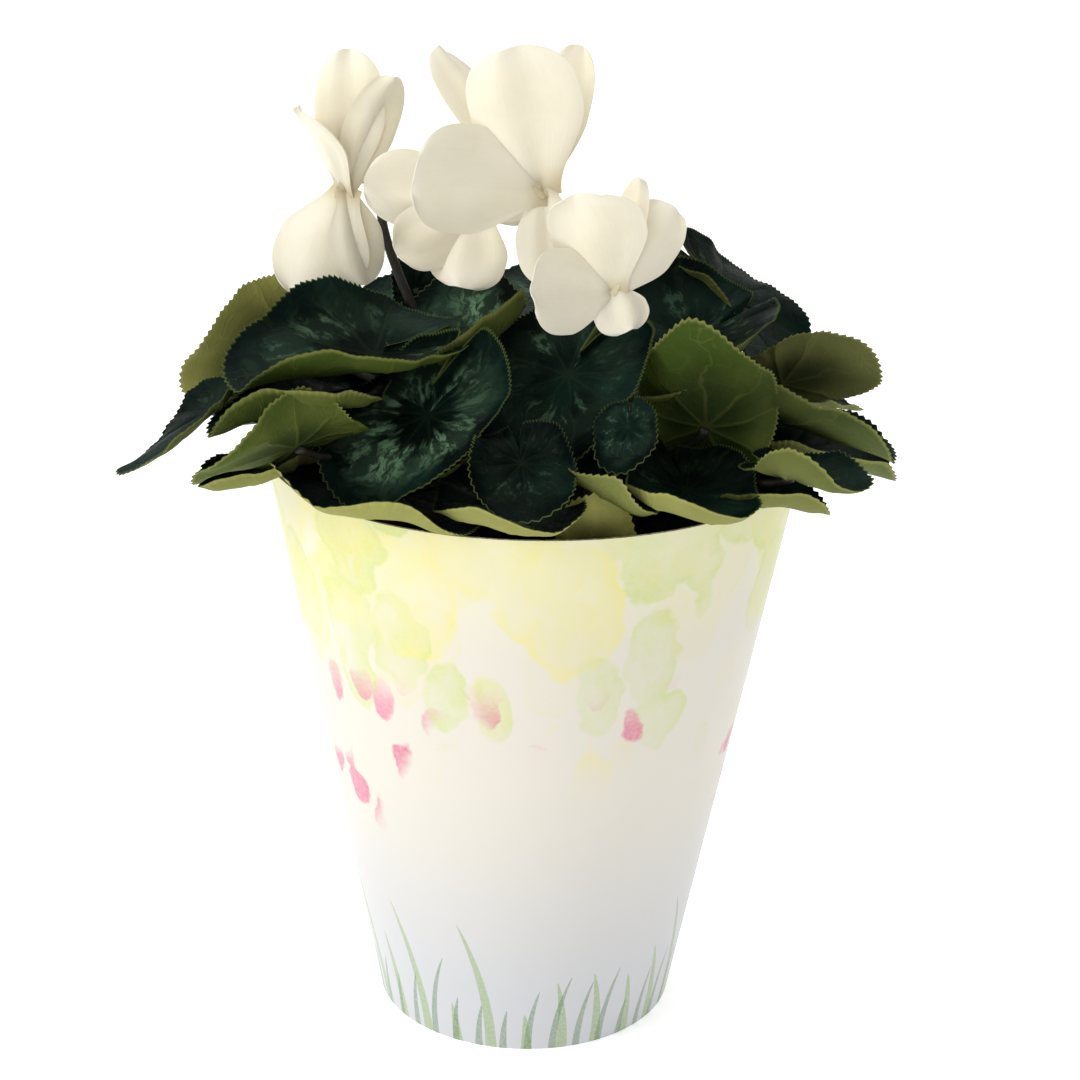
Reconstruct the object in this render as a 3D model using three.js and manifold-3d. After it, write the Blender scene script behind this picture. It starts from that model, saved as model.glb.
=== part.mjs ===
// Potted cyclamen: white blooms over a mound of heart-shaped leaves, grown from one tuber in a
// nursery pot that stands inside a taller printed card cover.
// Millimetres, +Z up. The origin is the centre of the cover's foot, on the surface that it stands on.
// -Y is the front. Directions are given as an azimuth in the XY plane (0 = +X, 90 = +Y) and an
// elevation above the horizontal, both in degrees.

import * as THREE from "three";
import { mergeVertices } from "three/addons/utils/BufferGeometryUtils.js";
import Module from "manifold-3d";

// ---------------------------------------------------------------- driving dimensions

const GAP = 0.3; // clearance between pieces that touch

const COVER = {
  height: 158,
  topRadius: 70,
  footRadius: 40.5,
  card: 0.8,
  seamWidth: 10,
  seamInset: 0.5,
  seamSink: 0.3, // the seam's middle, inside the wall's outer face
};
const COVER_BASE = { height: 8, card: 0.8 };
const GROW_POT = {
  height: 127,
  wall: 1.2,
  insideCover: 2.2, // between the pot's wall and the card
  lipWidth: 2.2,
  lipHeight: 5,
  drainRadius: 4,
  drains: 5,
};
const SOIL = { belowLip: 9, crown: 2.5, shoulder: 0.7 };
const TUBER = {
  radius: 21,
  crownRadius: 19.5,
  halfHeight: 10,
  aboveSoil: 5,
  dishRadius: 17.5,
  dishDepth: 3.5,
};
const CROWN_SPACING = 3.4; // between the middles of two stems in one ring
const CROWN_RINGS = [
  { radius: 3.2, stems: 5 },
  { radius: 7.4, stems: 10 },
  { radius: 11.6, stems: 14 },
  { radius: 15.6, stems: 18 },
];

const LEAF = {
  thickness: 0.7,
  lobeSpread: 0.7, // the lobes' reach, of the length
  tipShare: 0.3, // how much further the tip reaches, of the length
  halfWidth: 0.72, // where the sides' curl is given, of the length
  notchWidth: 0.2,
  notchDepth: 0.88,
  tooth: 0.02,
  wave: 0.05, // of the length, at the edge
  waves: 5,
  phaseStep: 2.4,
};
const LEAF_MESH = {
  spokes: 7,
  rings: [0.36, 0.72, 1], // each ring has twice the points of the last
  towardsNotch: 0.38, // how far the edge's points crowd towards the notch
};
const PETIOLE = {
  radius: 1.15,
  sides: 5,
  steps: 5,
  upright: 0.6, // how straight it leaves the crown, of its span
  ending: 0.25, // the stretch that turns into the blade, of its span
  forwardLean: 0.5,
  normalLean: 0.3,
};

const PETAL = {
  start: 1,
  thickness: 0.8,
  baseShare: 0.3, // the width at the throat, of the full width
  openBy: 0.55,
  widestAt: 0.6,
  bluntness: 2.6, // 2 closes the tip on an ellipse, more leaves it blunter
  cup: 18, // how far each side bends back, in degrees
  faceElevation: 15,
  across: 4,
  along: 4,
};
const THROAT = { radius: 3.2, back: 1.8, sides: 7 };
const CALYX = { radius: 3, length: 3.5, sepals: 5, sepalReach: 1.1 };
const STALK = { radius: 1.15, sides: 5, steps: 12, hookRise: 5, hookReach: 7, hookDrop: 16 };
const SIDES = { cover: 48, base: 32, pot: 28, drain: 6, soil: 24, tuber: 20, bud: 8 };

const COLOURS = {
  card: 0xf1efe9,
  cardInside: 0xcfc5b0,
  plastic: 0x8a4a34,
  soil: 0x35271d,
  tuber: 0x5b4433,
  leaf: 0x1d4030,
  petal: 0xf3ecdc,
  stalk: 0x5a3f33,
  bud: 0xdfe3bd,
};

// Each leaf: where the stalk meets the blade, the way its tip points, its roll about that line
// (positive lifts the left side), its length from stalk to tip, how far its sides and its tip
// curl up (degrees at the edge), and how broad it is against the usual blade.
const LEAVES = [
  // name, x, y, z, azimuth, elevation, roll, length, sides, tip, broad
  ["crest_left", -21, -13, 188, 75, 10, -8, 24, 40, 40, 1.1],
  ["left_back_fold", -40, -27, 190, 203, -6, -8, 35, 42, 10, 0.95],
  ["far_left_high", -65, 12, 182, 203, -22, 58, 28, 20, 0, 0.9],
  ["far_left_low", -80, -30, 176, 220, -26, 22, 25, 30, -10, 0.8],
  ["left_rim", -53, -41, 182, 208, -4, 4, 25, 20, 0, 0.8],
  ["left_low", -57, -54, 175, 211, -6, 42, 24, 30, -10, 0.85],
  ["front_left_low", -33, -43, 159, 217, 5, -2, 23, 6, 5, 1.55],
  ["front_left_face", -26, -44, 180, 232, -34, 0, 25, 20, 5, 1.0],
  ["front_centre", 8, -34, 188, 226, -36, -15, 26, 25, -5, 1.05],
  ["front_centre_low", -3, -63, 175, 279, -34, 0, 16, 25, 8, 1.05],
  ["front_left_inner", -24, -48, 170, 245, -10, 0, 15, 15, 10, 1.0],
  ["front_turned", -6, -54, 161, 272, -8, 0, 23, 28, 20, 1.05],
  ["front_upright", 15, -59, 147, 268, 78, 0, 18, 20, 10, 0.75],
  ["front_right_band", 17, -47, 162, 262, 6, -25, 24, 20, 40, 0.75],
  ["front_right_face", 37, -49, 164, 284, -18, 0, 23, 42, 34, 0.95],
  ["front_right_small", 22, -58, 183, 260, -52, 10, 10, 20, 0, 1.0],
  ["right_tent", 42, -36, 176, 262, 65, 0, 28, 20, 10, 0.8],
  ["right_fold", 59, -20, 173, 338, -6, -20, 30, 50, -10, 0.85],
  ["right_low", 62, -54, 170, 329, -4, -5, 17, 40, 10, 1.0],
  ["right_rim", 52, -40, 159, 325, 4, -4, 20, 20, 0, 0.9],
  ["right_face", 40, -5, 188, 208, -27, -10, 32, 35, 15, 1.1],
  ["right_crest", 49, 31, 192, 324, -36, -12, 27, 20, -10, 1.0],
  ["far_right_high", 64, 1, 176, 343, 20, -60, 24, 20, 0, 0.65],
  ["crest_young", -32, 14, 196, 93, 72, 0, 9, 20, 0, 0.9],
  ["left_inside", -52, 4, 166, 195, 0, 0, 25, 20, 0, 1.1],
  ["left_under", -64, -32, 163, 215, -8, 0, 18, 20, 0, 0.9],
  ["right_inside", 46, -20, 152, 215, -30, 0, 22, 20, 0, 1.1],
  ["right_under", 65, -6, 160, 345, -5, 0, 26, 20, 0, 1.1],
  // the far side
  ["back_right", 42, 45, 176, 48, -20, 0, 26, 30, 0, 1.0],
  ["back_right_high", 24, 34, 192, 60, -15, 0, 22, 30, 0, 1.0],
  ["back_centre_low", 14, 54, 172, 78, -25, 0, 30, 30, 0, 0.9],
  ["back_centre_high", -4, 26, 188, 75, 0, 0, 25, 25, 0, 1.05],
  ["back_left_low", -25, 54, 172, 116, -20, 0, 28, 30, 0, 1.0],
  ["back_left_high", -38, 30, 186, 140, -15, 0, 24, 30, 0, 1.0],
  ["back_left_side", -51, 41, 166, 142, -20, 0, 27, 30, 0, 0.9],
  ["back_right_side", 62, 26, 166, 18, -14, 0, 24, 30, 0, 0.9],
];

// Each bloom: where its petals meet, the way its mouth faces, the side that its stalk comes up on,
// and its petals: the way each points, the azimuth its face looks to, length, width, twist along
// its length and the curl of its tip.
const BLOOMS = [
  {
    name: "bloom_left",
    heart: [-49, 2, 224],
    mouth: [255, -30],
    stalkSide: -20,
    petals: [
      [72, 81, 36, 18, 10, 10, 270],
      [20, 68, 32, 14, -25, 10, 285],
      [205, 68, 26, 12, 30, 15, 235],
      [208, -64, 30, 25, 0, -10, 265],
      [-40, -72, 24, 15, 10, -5, 290],
    ],
  },
  {
    name: "bloom_top",
    heart: [1, -20, 231],
    mouth: [275, -30],
    stalkSide: 86,
    petals: [
      [205, 76, 38, 28, 0, 15, 262],
      [195, 9, 35, 27, 10, 20, 265],
      [54, 68, 36, 13, 25, 0, 280],
      [160, 48, 43, 14, -30, 0, 288],
      [300, -74, 24, 17, 0, 0, 268],
    ],
  },
  {
    name: "bloom_low",
    heart: [-15, -3, 221],
    mouth: [262, -30],
    stalkSide: 84,
    petals: [
      [178, 16, 30, 20, 15, 10, 270],
      [206, -20, 25, 17, 0, 10, 270],
      [245, -58, 21, 20, 0, 10, 265],
      [138, 52, 20, 15, 0, 10, 250],
      [24, 16, 18, 14, 0, 10, 290],
    ],
  },
  {
    name: "bloom_right",
    heart: [18, -35, 210],
    mouth: [278, -30],
    stalkSide: 110,
    petals: [
      [215, 72, 28, 24, 10, 15, 262],
      [25, 52, 25, 18, -20, 10, 275],
      [36, 75, 28, 9, 20, 0, 250],
      [205, 4, 23, 21, 0, 15, 255],
      [-50, -50, 11, 14, 0, -10, 280],
    ],
  },
];

const BUD = { tip: [8, -16, 207], radius: 3.6, length: 17, stalkSide: 90 };

// ---------------------------------------------------------------- helpers

const wasm = await Module();
wasm.setup();
const { Vector3 } = THREE;
const radians = THREE.MathUtils.degToRad;
const UP = new Vector3(0, 0, 1);

function direction(azimuth, elevation) {
  const a = radians(azimuth);
  const e = radians(elevation);
  return new Vector3(Math.cos(a) * Math.cos(e), Math.sin(a) * Math.cos(e), Math.sin(e));
}

// A closed geometry as a manifold-3d solid, moved by a matrix once its shared vertices are merged.
function solid(geometry, matrix = new THREE.Matrix4()) {
  const bare = new THREE.BufferGeometry();
  bare.setAttribute("position", geometry.getAttribute("position").clone());
  if (geometry.index) bare.setIndex(geometry.index.clone());
  const merged = mergeVertices(bare, 1e-4).applyMatrix4(matrix);
  return new wasm.Manifold(
    new wasm.Mesh({
      numProp: 3,
      vertProperties: merged.getAttribute("position").array,
      triVerts: new Uint32Array(merged.index.array),
    }),
  );
}

function geometryOf(manifold) {
  const mesh = manifold.getMesh();
  const geometry = new THREE.BufferGeometry();
  geometry.setAttribute("position", new THREE.BufferAttribute(new Float32Array(mesh.vertProperties), 3));
  geometry.setIndex(new THREE.BufferAttribute(new Uint32Array(mesh.triVerts), 1));
  return geometry;
}

function revolved(profile, sides) {
  const points = profile.map(([r, z]) => new THREE.Vector2(r, z));
  return new THREE.LatheGeometry(points, sides).rotateX(Math.PI / 2);
}

function tube(curve, radius, sides, steps) {
  const outline = new THREE.Shape();
  for (let i = 0; i < sides; i++) {
    const a = (2 * Math.PI * i) / sides;
    const [x, y] = [radius * Math.cos(a), radius * Math.sin(a)];
    if (i) outline.lineTo(x, y);
    else outline.moveTo(x, y);
  }
  return new THREE.ExtrudeGeometry(outline, { steps, extrudePath: curve, bevelEnabled: false });
}

// Closes a sheet given as a grid of points: both faces lie half the thickness off it along its normals.
function thicken(points, normals, triangles, border, thickness) {
  const n = points.length;
  const position = new Float32Array(n * 6);
  points.forEach((p, i) => {
    const lift = normals[i].clone().multiplyScalar(thickness / 2);
    p.clone().add(lift).toArray(position, i * 3);
    p.clone().sub(lift).toArray(position, (n + i) * 3);
  });
  const index = [];
  for (const [a, b, c] of triangles) index.push(a, b, c, n + a, n + c, n + b);
  border.forEach((a, i) => {
    const b = border[(i + 1) % border.length];
    index.push(a, n + a, n + b, a, n + b, b);
  });
  const geometry = new THREE.BufferGeometry();
  geometry.setAttribute("position", new THREE.BufferAttribute(position, 3));
  geometry.setIndex(index);
  return geometry;
}

// How far along and how far up a point lies once its straight line is bent to a circle.
function onArc(distance, curve) {
  if (Math.abs(curve) < 1e-6) return [distance, 0];
  return [Math.sin(curve * distance) / curve, (1 - Math.cos(curve * distance)) / curve];
}

// A point x, y of a flat sheet, after its x line and its y line are each bent to a circle.
function bent(x, y, curveX, curveY) {
  const [along, lift] = onArc(x, curveX);
  const [across, rise] = onArc(y, curveY);
  const turn = curveX * x;
  return new Vector3(along - rise * Math.sin(turn), across, lift + rise * Math.cos(turn));
}

const root = new THREE.Group();

function place(name, shape, colour, roughness = 0.8) {
  const geometry = shape.isBufferGeometry ? shape : geometryOf(shape);
  const material = new THREE.MeshStandardMaterial({ color: colour, roughness, metalness: 0 });
  const mesh = new THREE.Mesh(geometry, material);
  mesh.name = name;
  root.add(mesh);
}

// ---------------------------------------------------------------- cover, nursery pot, soil, tuber

const coverSlope = (COVER.topRadius - COVER.footRadius) / COVER.height;
const coverInside = (z) => COVER.footRadius - COVER.card + coverSlope * z;

function coverWall() {
  const wall = revolved(
    [
      [COVER.footRadius, 0],
      [COVER.topRadius, COVER.height],
      [COVER.topRadius - COVER.card, COVER.height],
      [COVER.footRadius - COVER.card, 0],
      [COVER.footRadius, 0],
    ],
    SIDES.cover,
  );
  return solid(wall).add(coverSeam());
}

// The card's overlap runs up the back, a little proud of the wall: a flat bar leaned to the wall's
// slope.
function coverSeam() {
  const length = COVER.height - 2 * COVER.seamInset;
  const seam = new THREE.BoxGeometry(COVER.seamWidth, COVER.card, length);
  const middle = (COVER.topRadius + COVER.footRadius) / 2;
  seam.rotateX(-Math.atan(coverSlope)).translate(0, middle - COVER.seamSink, COVER.height / 2);
  return solid(seam);
}

// A disc flush with the wall's foot, its edge turned up against the inside of the wall.
function coverBase() {
  const skirt = (z) => coverInside(z) - GAP;
  return revolved(
    [
      [0, 0],
      [skirt(0), 0],
      [skirt(COVER_BASE.height), COVER_BASE.height],
      [skirt(COVER_BASE.height) - COVER_BASE.card, COVER_BASE.height],
      [skirt(COVER_BASE.card) - COVER_BASE.card, COVER_BASE.card],
      [0, COVER_BASE.card],
    ],
    SIDES.base,
  );
}

const potFloor = COVER_BASE.card + GAP;
const potTop = potFloor + GROW_POT.height;
const potRadius = (z) => coverInside(z) - GROW_POT.insideCover;
const soilTop = potTop - SOIL.belowLip;
const crownTop = soilTop + TUBER.aboveSoil;
const stemFoot = crownTop - TUBER.dishDepth + GAP;

function growPot() {
  const lipBottom = potTop - GROW_POT.lipHeight;
  const inside = (z) => potRadius(z) - GROW_POT.wall;
  const shell = revolved(
    [
      [0, potFloor],
      [potRadius(potFloor), potFloor],
      [potRadius(lipBottom) - GROW_POT.lipWidth / 2, lipBottom],
      [potRadius(lipBottom) + GROW_POT.lipWidth / 4, lipBottom],
      [potRadius(potTop) + GROW_POT.lipWidth / 4, potTop],
      [inside(potTop) - GROW_POT.lipWidth / 2, potTop],
      [inside(potFloor), potFloor + GROW_POT.wall],
      [0, potFloor + GROW_POT.wall],
    ],
    SIDES.pot,
  );
  const { drainRadius, drains, wall } = GROW_POT;
  let pot = solid(shell);
  for (let i = 0; i < drains; i++) {
    const drain = new THREE.CylinderGeometry(drainRadius, drainRadius, 4 * wall, SIDES.drain);
    const at = direction((360 / drains) * i, 0).multiplyScalar(potRadius(potFloor) * 0.6);
    pot = pot.subtract(solid(drain.rotateX(Math.PI / 2).translate(at.x, at.y, potFloor)));
  }
  return pot;
}

function soil() {
  const inside = (z) => potRadius(z) - GROW_POT.wall - GROW_POT.lipWidth / 2 - GAP;
  const bottom = potFloor + GROW_POT.wall + GAP;
  const body = revolved(
    [
      [0, bottom],
      [inside(bottom), bottom],
      [inside(soilTop - SOIL.crown), soilTop - SOIL.crown],
      [inside(soilTop) * SOIL.shoulder, soilTop - SOIL.crown * 0.2],
      [0, soilTop],
    ],
    SIDES.soil,
  );
  const hollow = revolved([...tuberProfile(GAP), [0, crownTop + GAP]], SIDES.tuber);
  return solid(body).subtract(solid(hollow));
}

// The tuber is a flattened round with a dished crown, which all the stems rise from.
function tuberProfile(extra) {
  const middle = crownTop - TUBER.halfHeight;
  return [
    [0, middle - TUBER.halfHeight - extra],
    [TUBER.radius * 0.7 + extra, middle - TUBER.halfHeight * 0.75 - extra],
    [TUBER.radius + extra, middle],
    [TUBER.crownRadius + extra, crownTop + extra],
  ];
}

function tuber() {
  const dishFloor = crownTop - TUBER.dishDepth;
  const dish = [
    [TUBER.dishRadius, crownTop],
    [TUBER.dishRadius - 0.5, dishFloor],
    [0, dishFloor],
  ];
  return revolved([...tuberProfile(0), ...dish], SIDES.tuber);
}

// ---------------------------------------------------------------- leaves

// The blade's edge, as its distance from the stalk at an angle from the tip: a heart with a deep
// notch at the stalk.
function leafReach(angle, length) {
  const tipward = (1 + Math.cos(angle)) / 2;
  const fromNotch = (Math.PI - Math.abs(angle)) / LEAF.notchWidth;
  const notch = 1 - LEAF.notchDepth * Math.exp(-fromNotch * fromNotch);
  return length * (LEAF.lobeSpread + LEAF.tipShare * tipward ** 3) * notch;
}

const bladePoint = (leaf) => (x, y) => {
  const curveX = radians(leaf.tip) / leaf.length;
  const curveY = radians(leaf.sides) / (LEAF.halfWidth * leaf.length);
  const point = bent(x, y, curveX, curveY);
  const out = Math.hypot(x, y) / leaf.length;
  const wave = Math.cos(LEAF.waves * Math.atan2(y, x) + leaf.phase);
  point.z += LEAF.wave * leaf.length * out ** 3 * wave;
  return point;
};

function bladeGeometry(leaf) {
  const at = bladePoint(leaf);
  const rings = LEAF_MESH.rings.map((share, ring) => {
    const count = LEAF_MESH.spokes * 2 ** ring;
    return Array.from({ length: count }, (_, i) => {
      const s = (2 * i) / count - 1;
      const angle = Math.PI * s + LEAF_MESH.towardsNotch * Math.sin(Math.PI * s);
      const tooth = ring === LEAF_MESH.rings.length - 1 ? 1 + LEAF.tooth * (i % 2 ? 1 : -1) : 1;
      const reach = leafReach(angle, leaf.length) * share * tooth;
      return [reach * Math.cos(angle), reach * Math.sin(angle) * leaf.broad];
    });
  });
  const flat = [[0, 0], ...rings.flat()];
  const step = 0.05;
  const points = flat.map(([x, y]) => at(x, y));
  const normals = flat.map(([x, y]) => {
    const dx = at(x + step, y).sub(at(x - step, y));
    const dy = at(x, y + step).sub(at(x, y - step));
    return dx.cross(dy).normalize();
  });
  const triangles = [];
  let first = 1;
  const inner = rings[0].length;
  for (let i = 0; i < inner; i++) triangles.push([0, first + i, first + ((i + 1) % inner)]);
  for (let ring = 1; ring < rings.length; ring++) {
    const count = rings[ring - 1].length;
    const outer = first + count;
    for (let i = 0; i < count; i++) {
      const [a, b] = [first + i, first + ((i + 1) % count)];
      const [c, d, e] = [0, 1, 2].map((k) => outer + ((2 * i + k) % (2 * count)));
      triangles.push([a, c, d], [a, d, b], [b, d, e]);
    }
    first = outer;
  }
  const border = rings.at(-1).map((_, i) => first + i);
  return thicken(points, normals, triangles, border, LEAF.thickness);
}

function leafFrame(leaf) {
  const forward = direction(leaf.azimuth, leaf.elevation);
  const level = direction(leaf.azimuth + 90, 0);
  const normal = forward.clone().cross(level);
  const roll = radians(leaf.roll);
  const left = level.clone().multiplyScalar(Math.cos(roll)).addScaledVector(normal, Math.sin(roll));
  return { forward, left, normal: forward.clone().cross(left) };
}

// The stems' feet stand in rings in the dish, the steepest stems in the middle. Each foot faces the
// way its stem leans, and is pushed along its ring where it would stand too close to the next.
function plantFeet(stems) {
  const azimuth = ({ at }) => Math.atan2(at.y, at.x);
  const steepness = ({ at }) => Math.hypot(at.x, at.y) / (at.z - stemFoot);
  const inward = [...stems].sort((a, b) => steepness(a) - steepness(b));
  for (const { radius, stems: places } of CROWN_RINGS) {
    const ring = inward.splice(0, places).sort((a, b) => azimuth(a) - azimuth(b));
    const angles = ring.map(azimuth);
    const least = Math.min(CROWN_SPACING / radius, (2 * Math.PI) / ring.length);
    for (let pass = 0; pass < 200; pass++) {
      for (let i = 0; i < ring.length; i++) {
        const next = (i + 1) % ring.length;
        const turn = next === 0 ? 2 * Math.PI : 0;
        const short = least - (angles[next] + turn - angles[i]);
        if (short <= 0) continue;
        angles[i] -= short / 2;
        angles[next] += short / 2;
      }
    }
    ring.forEach((stem, i) => {
      stem.foot = new Vector3(radius * Math.cos(angles[i]), radius * Math.sin(angles[i]), stemFoot);
    });
  }
}

function leafSolid(leaf) {
  const { forward, left, normal } = leafFrame(leaf);
  const blade = bladeGeometry(leaf);
  blade.applyMatrix4(new THREE.Matrix4().makeBasis(forward, left, normal).setPosition(leaf.at));
  const rise = leaf.at.clone().sub(leaf.foot);
  const span = rise.length();
  const arrive = rise.normalize().addScaledVector(forward, PETIOLE.forwardLean);
  arrive.addScaledVector(normal, PETIOLE.normalLean).normalize();
  const curve = new THREE.CubicBezierCurve3(
    leaf.foot,
    leaf.foot.clone().addScaledVector(UP, span * PETIOLE.upright),
    leaf.at.clone().addScaledVector(arrive, -span * PETIOLE.ending),
    leaf.at,
  );
  const stalk = tube(curve, PETIOLE.radius, PETIOLE.sides, PETIOLE.steps);
  return solid(blade).add(solid(stalk));
}

function leafFromRow([name, x, y, z, azimuth, elevation, roll, length, sides, tip, broad], index) {
  const at = new Vector3(x, y, z);
  const phase = index * LEAF.phaseStep;
  return { name, at, azimuth, elevation, roll, length, sides, tip, broad, phase };
}

// ---------------------------------------------------------------- blooms

function petalWidth(along) {
  const opening = THREE.MathUtils.smoothstep(along, 0, PETAL.openBy);
  const closing = Math.max(0, (along - PETAL.widestAt) / (1.04 - PETAL.widestAt));
  const rounded = Math.sqrt(1 - closing ** PETAL.bluntness);
  return (PETAL.baseShare + (1 - PETAL.baseShare) * opening) * rounded;
}

function petalGeometry(heart, [azimuth, elevation, length, width, twist, curl, faceAzimuth]) {
  const forward = direction(azimuth, elevation);
  const face = direction(faceAzimuth, PETAL.faceElevation);
  const normal = face.addScaledVector(forward, -face.dot(forward)).normalize();
  const side = normal.clone().cross(forward);
  const at = (u, v) => {
    const along = PETAL.start + (length - PETAL.start) * v * (1 - 0.1 * u * u * v);
    const across = (u * width * petalWidth(v)) / 2;
    const p = bent(along, across, radians(-curl) / length, radians(PETAL.cup) / (width / 2));
    const turn = radians(twist) * v;
    const y = p.y * Math.cos(turn) - p.z * Math.sin(turn);
    const z = p.y * Math.sin(turn) + p.z * Math.cos(turn);
    const point = heart.clone().addScaledVector(forward, p.x);
    return point.addScaledVector(side, y).addScaledVector(normal, -z);
  };
  const { across, along } = PETAL;
  const grid = [];
  for (let j = 0; j <= along; j++) {
    for (let i = 0; i <= across; i++) grid.push([(2 * i) / across - 1, j / along]);
  }
  const step = 1e-3;
  const points = grid.map(([u, v]) => at(u, v));
  const normals = grid.map(([u, v]) => {
    const du = at(u + step, v).sub(at(u - step, v));
    const dv = at(u, Math.min(v + step, 1)).sub(at(u, v - step));
    return dv.cross(du).normalize();
  });
  const triangles = [];
  const id = (i, j) => j * (across + 1) + i;
  for (let j = 0; j < along; j++) {
    for (let i = 0; i < across; i++) {
      const [a, b, c, d] = [id(i, j), id(i, j + 1), id(i + 1, j + 1), id(i + 1, j)];
      triangles.push([a, b, c], [a, c, d]);
    }
  }
  const border = [];
  for (let j = 0; j < along; j++) border.push(id(0, j));
  for (let i = 0; i < across; i++) border.push(id(i, along));
  for (let j = along; j > 0; j--) border.push(id(across, j));
  for (let i = across; i > 0; i--) border.push(id(i, 0));
  return thicken(points, normals, triangles, border, PETAL.thickness);
}

function ball(radius, centre, sides) {
  return new THREE.SphereGeometry(radius, sides, sides - 2).translate(centre.x, centre.y, centre.z);
}

function corolla(bloom) {
  const heart = new Vector3(...bloom.heart);
  const upward = direction(...bloom.mouth).negate();
  let shape = solid(ball(THROAT.radius, heart.clone().addScaledVector(upward, THROAT.back), THROAT.sides));
  for (const petal of bloom.petals) shape = shape.add(solid(petalGeometry(heart, petal)));
  return shape;
}

// The stalk rises beside the bloom, hooks over above it and comes down into the calyx.
function hookedStalk(foot, end, upward, side) {
  const out = direction(side, 0);
  const top = end.clone().addScaledVector(upward, STALK.hookRise);
  const shoulder = end.clone().addScaledVector(out, STALK.hookReach);
  shoulder.addScaledVector(UP, STALK.hookRise * 0.4);
  const beside = shoulder.clone().addScaledVector(out, 1).addScaledVector(UP, -STALK.hookDrop);
  const low = foot.clone().lerp(beside, 0.35).addScaledVector(UP, STALK.hookDrop / 2);
  const curve = new THREE.CatmullRomCurve3([foot, low, beside, shoulder, top, end], false, "centripetal");
  return tube(curve, STALK.radius, STALK.sides, STALK.steps);
}

function bloomStalk(bloom) {
  const heart = new Vector3(...bloom.heart);
  const upward = direction(...bloom.mouth).negate();
  const seat = heart.clone().addScaledVector(upward, THROAT.back + THROAT.radius + GAP);
  const end = seat.clone().addScaledVector(upward, CALYX.length - 1);
  const cup = new THREE.CylinderGeometry(STALK.radius, CALYX.radius, CALYX.length, CALYX.sepals * 2);
  const position = cup.getAttribute("position");
  for (let i = 0; i < position.count; i++) {
    const [x, y, z] = [position.getX(i), position.getY(i), position.getZ(i)];
    const isSepal = y < 0 && Math.cos(CALYX.sepals * Math.atan2(x, z)) > 0;
    const spread = isSepal ? 1 + CALYX.sepalReach / CALYX.radius : 1;
    position.setXYZ(i, x * spread, y, z * spread);
  }
  const centre = seat.clone().addScaledVector(upward, CALYX.length / 2);
  const turn = new THREE.Quaternion().setFromUnitVectors(new Vector3(0, 1, 0), upward);
  const matrix = new THREE.Matrix4().compose(centre, turn, new Vector3(1, 1, 1));
  const stalk = solid(hookedStalk(bloom.foot, end, upward, bloom.stalkSide));
  return stalk.add(solid(cup, matrix));
}

function budSolid(bud) {
  const tip = bud.at;
  const body = revolved(
    [
      [0, -BUD.length],
      [BUD.radius * 0.55, -BUD.length * 0.8],
      [BUD.radius, -BUD.length * 0.35],
      [BUD.radius * 0.8, -BUD.length * 0.1],
      [0, 0],
    ],
    SIDES.bud,
  ).translate(tip.x, tip.y, tip.z);
  const end = tip.clone().addScaledVector(UP, -1);
  return solid(body).add(solid(hookedStalk(bud.foot, end, UP, bud.stalkSide)));
}

// ---------------------------------------------------------------- the plant in its pot

const leaves = LEAVES.map(leafFromRow);
const blooms = BLOOMS.map((bloom) => ({ ...bloom, at: new Vector3(...bloom.heart) }));
const bud = { ...BUD, at: new Vector3(...BUD.tip) };
plantFeet([...leaves, ...blooms, bud]);

for (const leaf of leaves) place("leaf_" + leaf.name, leafSolid(leaf), COLOURS.leaf, 0.55);
for (const bloom of blooms) {
  place(bloom.name + "_stalk", bloomStalk(bloom), COLOURS.stalk, 0.6);
  place(bloom.name + "_petals", corolla(bloom), COLOURS.petal, 0.5);
}
place("bud", budSolid(bud), COLOURS.bud, 0.5);
place("cover_wall", coverWall(), COLOURS.card, 0.6);
place("cover_base", coverBase(), COLOURS.cardInside, 0.9);
place("grow_pot", growPot(), COLOURS.plastic, 0.6);
place("soil", soil(), COLOURS.soil, 1);
place("tuber", tuber(), COLOURS.tuber, 0.9);

export default root;
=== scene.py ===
import math
from types import SimpleNamespace

import bpy
import numpy as np
from mathutils import Matrix, Vector


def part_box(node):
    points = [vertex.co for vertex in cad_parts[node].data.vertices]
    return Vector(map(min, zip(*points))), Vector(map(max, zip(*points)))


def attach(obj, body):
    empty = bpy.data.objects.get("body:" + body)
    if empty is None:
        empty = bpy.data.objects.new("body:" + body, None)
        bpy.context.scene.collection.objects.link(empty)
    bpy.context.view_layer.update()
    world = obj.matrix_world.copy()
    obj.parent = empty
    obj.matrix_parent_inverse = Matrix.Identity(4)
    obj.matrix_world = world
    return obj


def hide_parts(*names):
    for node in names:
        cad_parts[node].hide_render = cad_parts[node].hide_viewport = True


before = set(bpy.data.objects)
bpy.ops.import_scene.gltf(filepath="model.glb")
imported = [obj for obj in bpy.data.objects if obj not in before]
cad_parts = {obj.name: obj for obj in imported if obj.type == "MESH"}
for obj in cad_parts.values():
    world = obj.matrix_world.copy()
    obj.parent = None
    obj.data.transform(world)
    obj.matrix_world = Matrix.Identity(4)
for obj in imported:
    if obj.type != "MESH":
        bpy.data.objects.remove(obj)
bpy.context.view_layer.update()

# Potted cyclamen. Shapes are worked out in millimetres in the part's own frame (+Z up, -Y the
# front) and written to meshes in metres. Directions are an azimuth in the XY plane (0 = +X,
# 90 = +Y) and an elevation, both in degrees.

MM = 0.001
BODY = "root"
UP = np.array([0.0, 0.0, 1.0])

# ---- driving dimensions, as the part

GAP = 0.3
COVER = SimpleNamespace(height=158, top=70, foot=40.5, card=0.8, seam=10)
STEM_FOOT_BELOW_CROWN = 3.2
CROWN_SPACING = 3.4
CROWN_RINGS = [(3.2, 5), (7.4, 10), (11.6, 14), (15.6, 18)]
SPREADING_ROUNDS = 200

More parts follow.
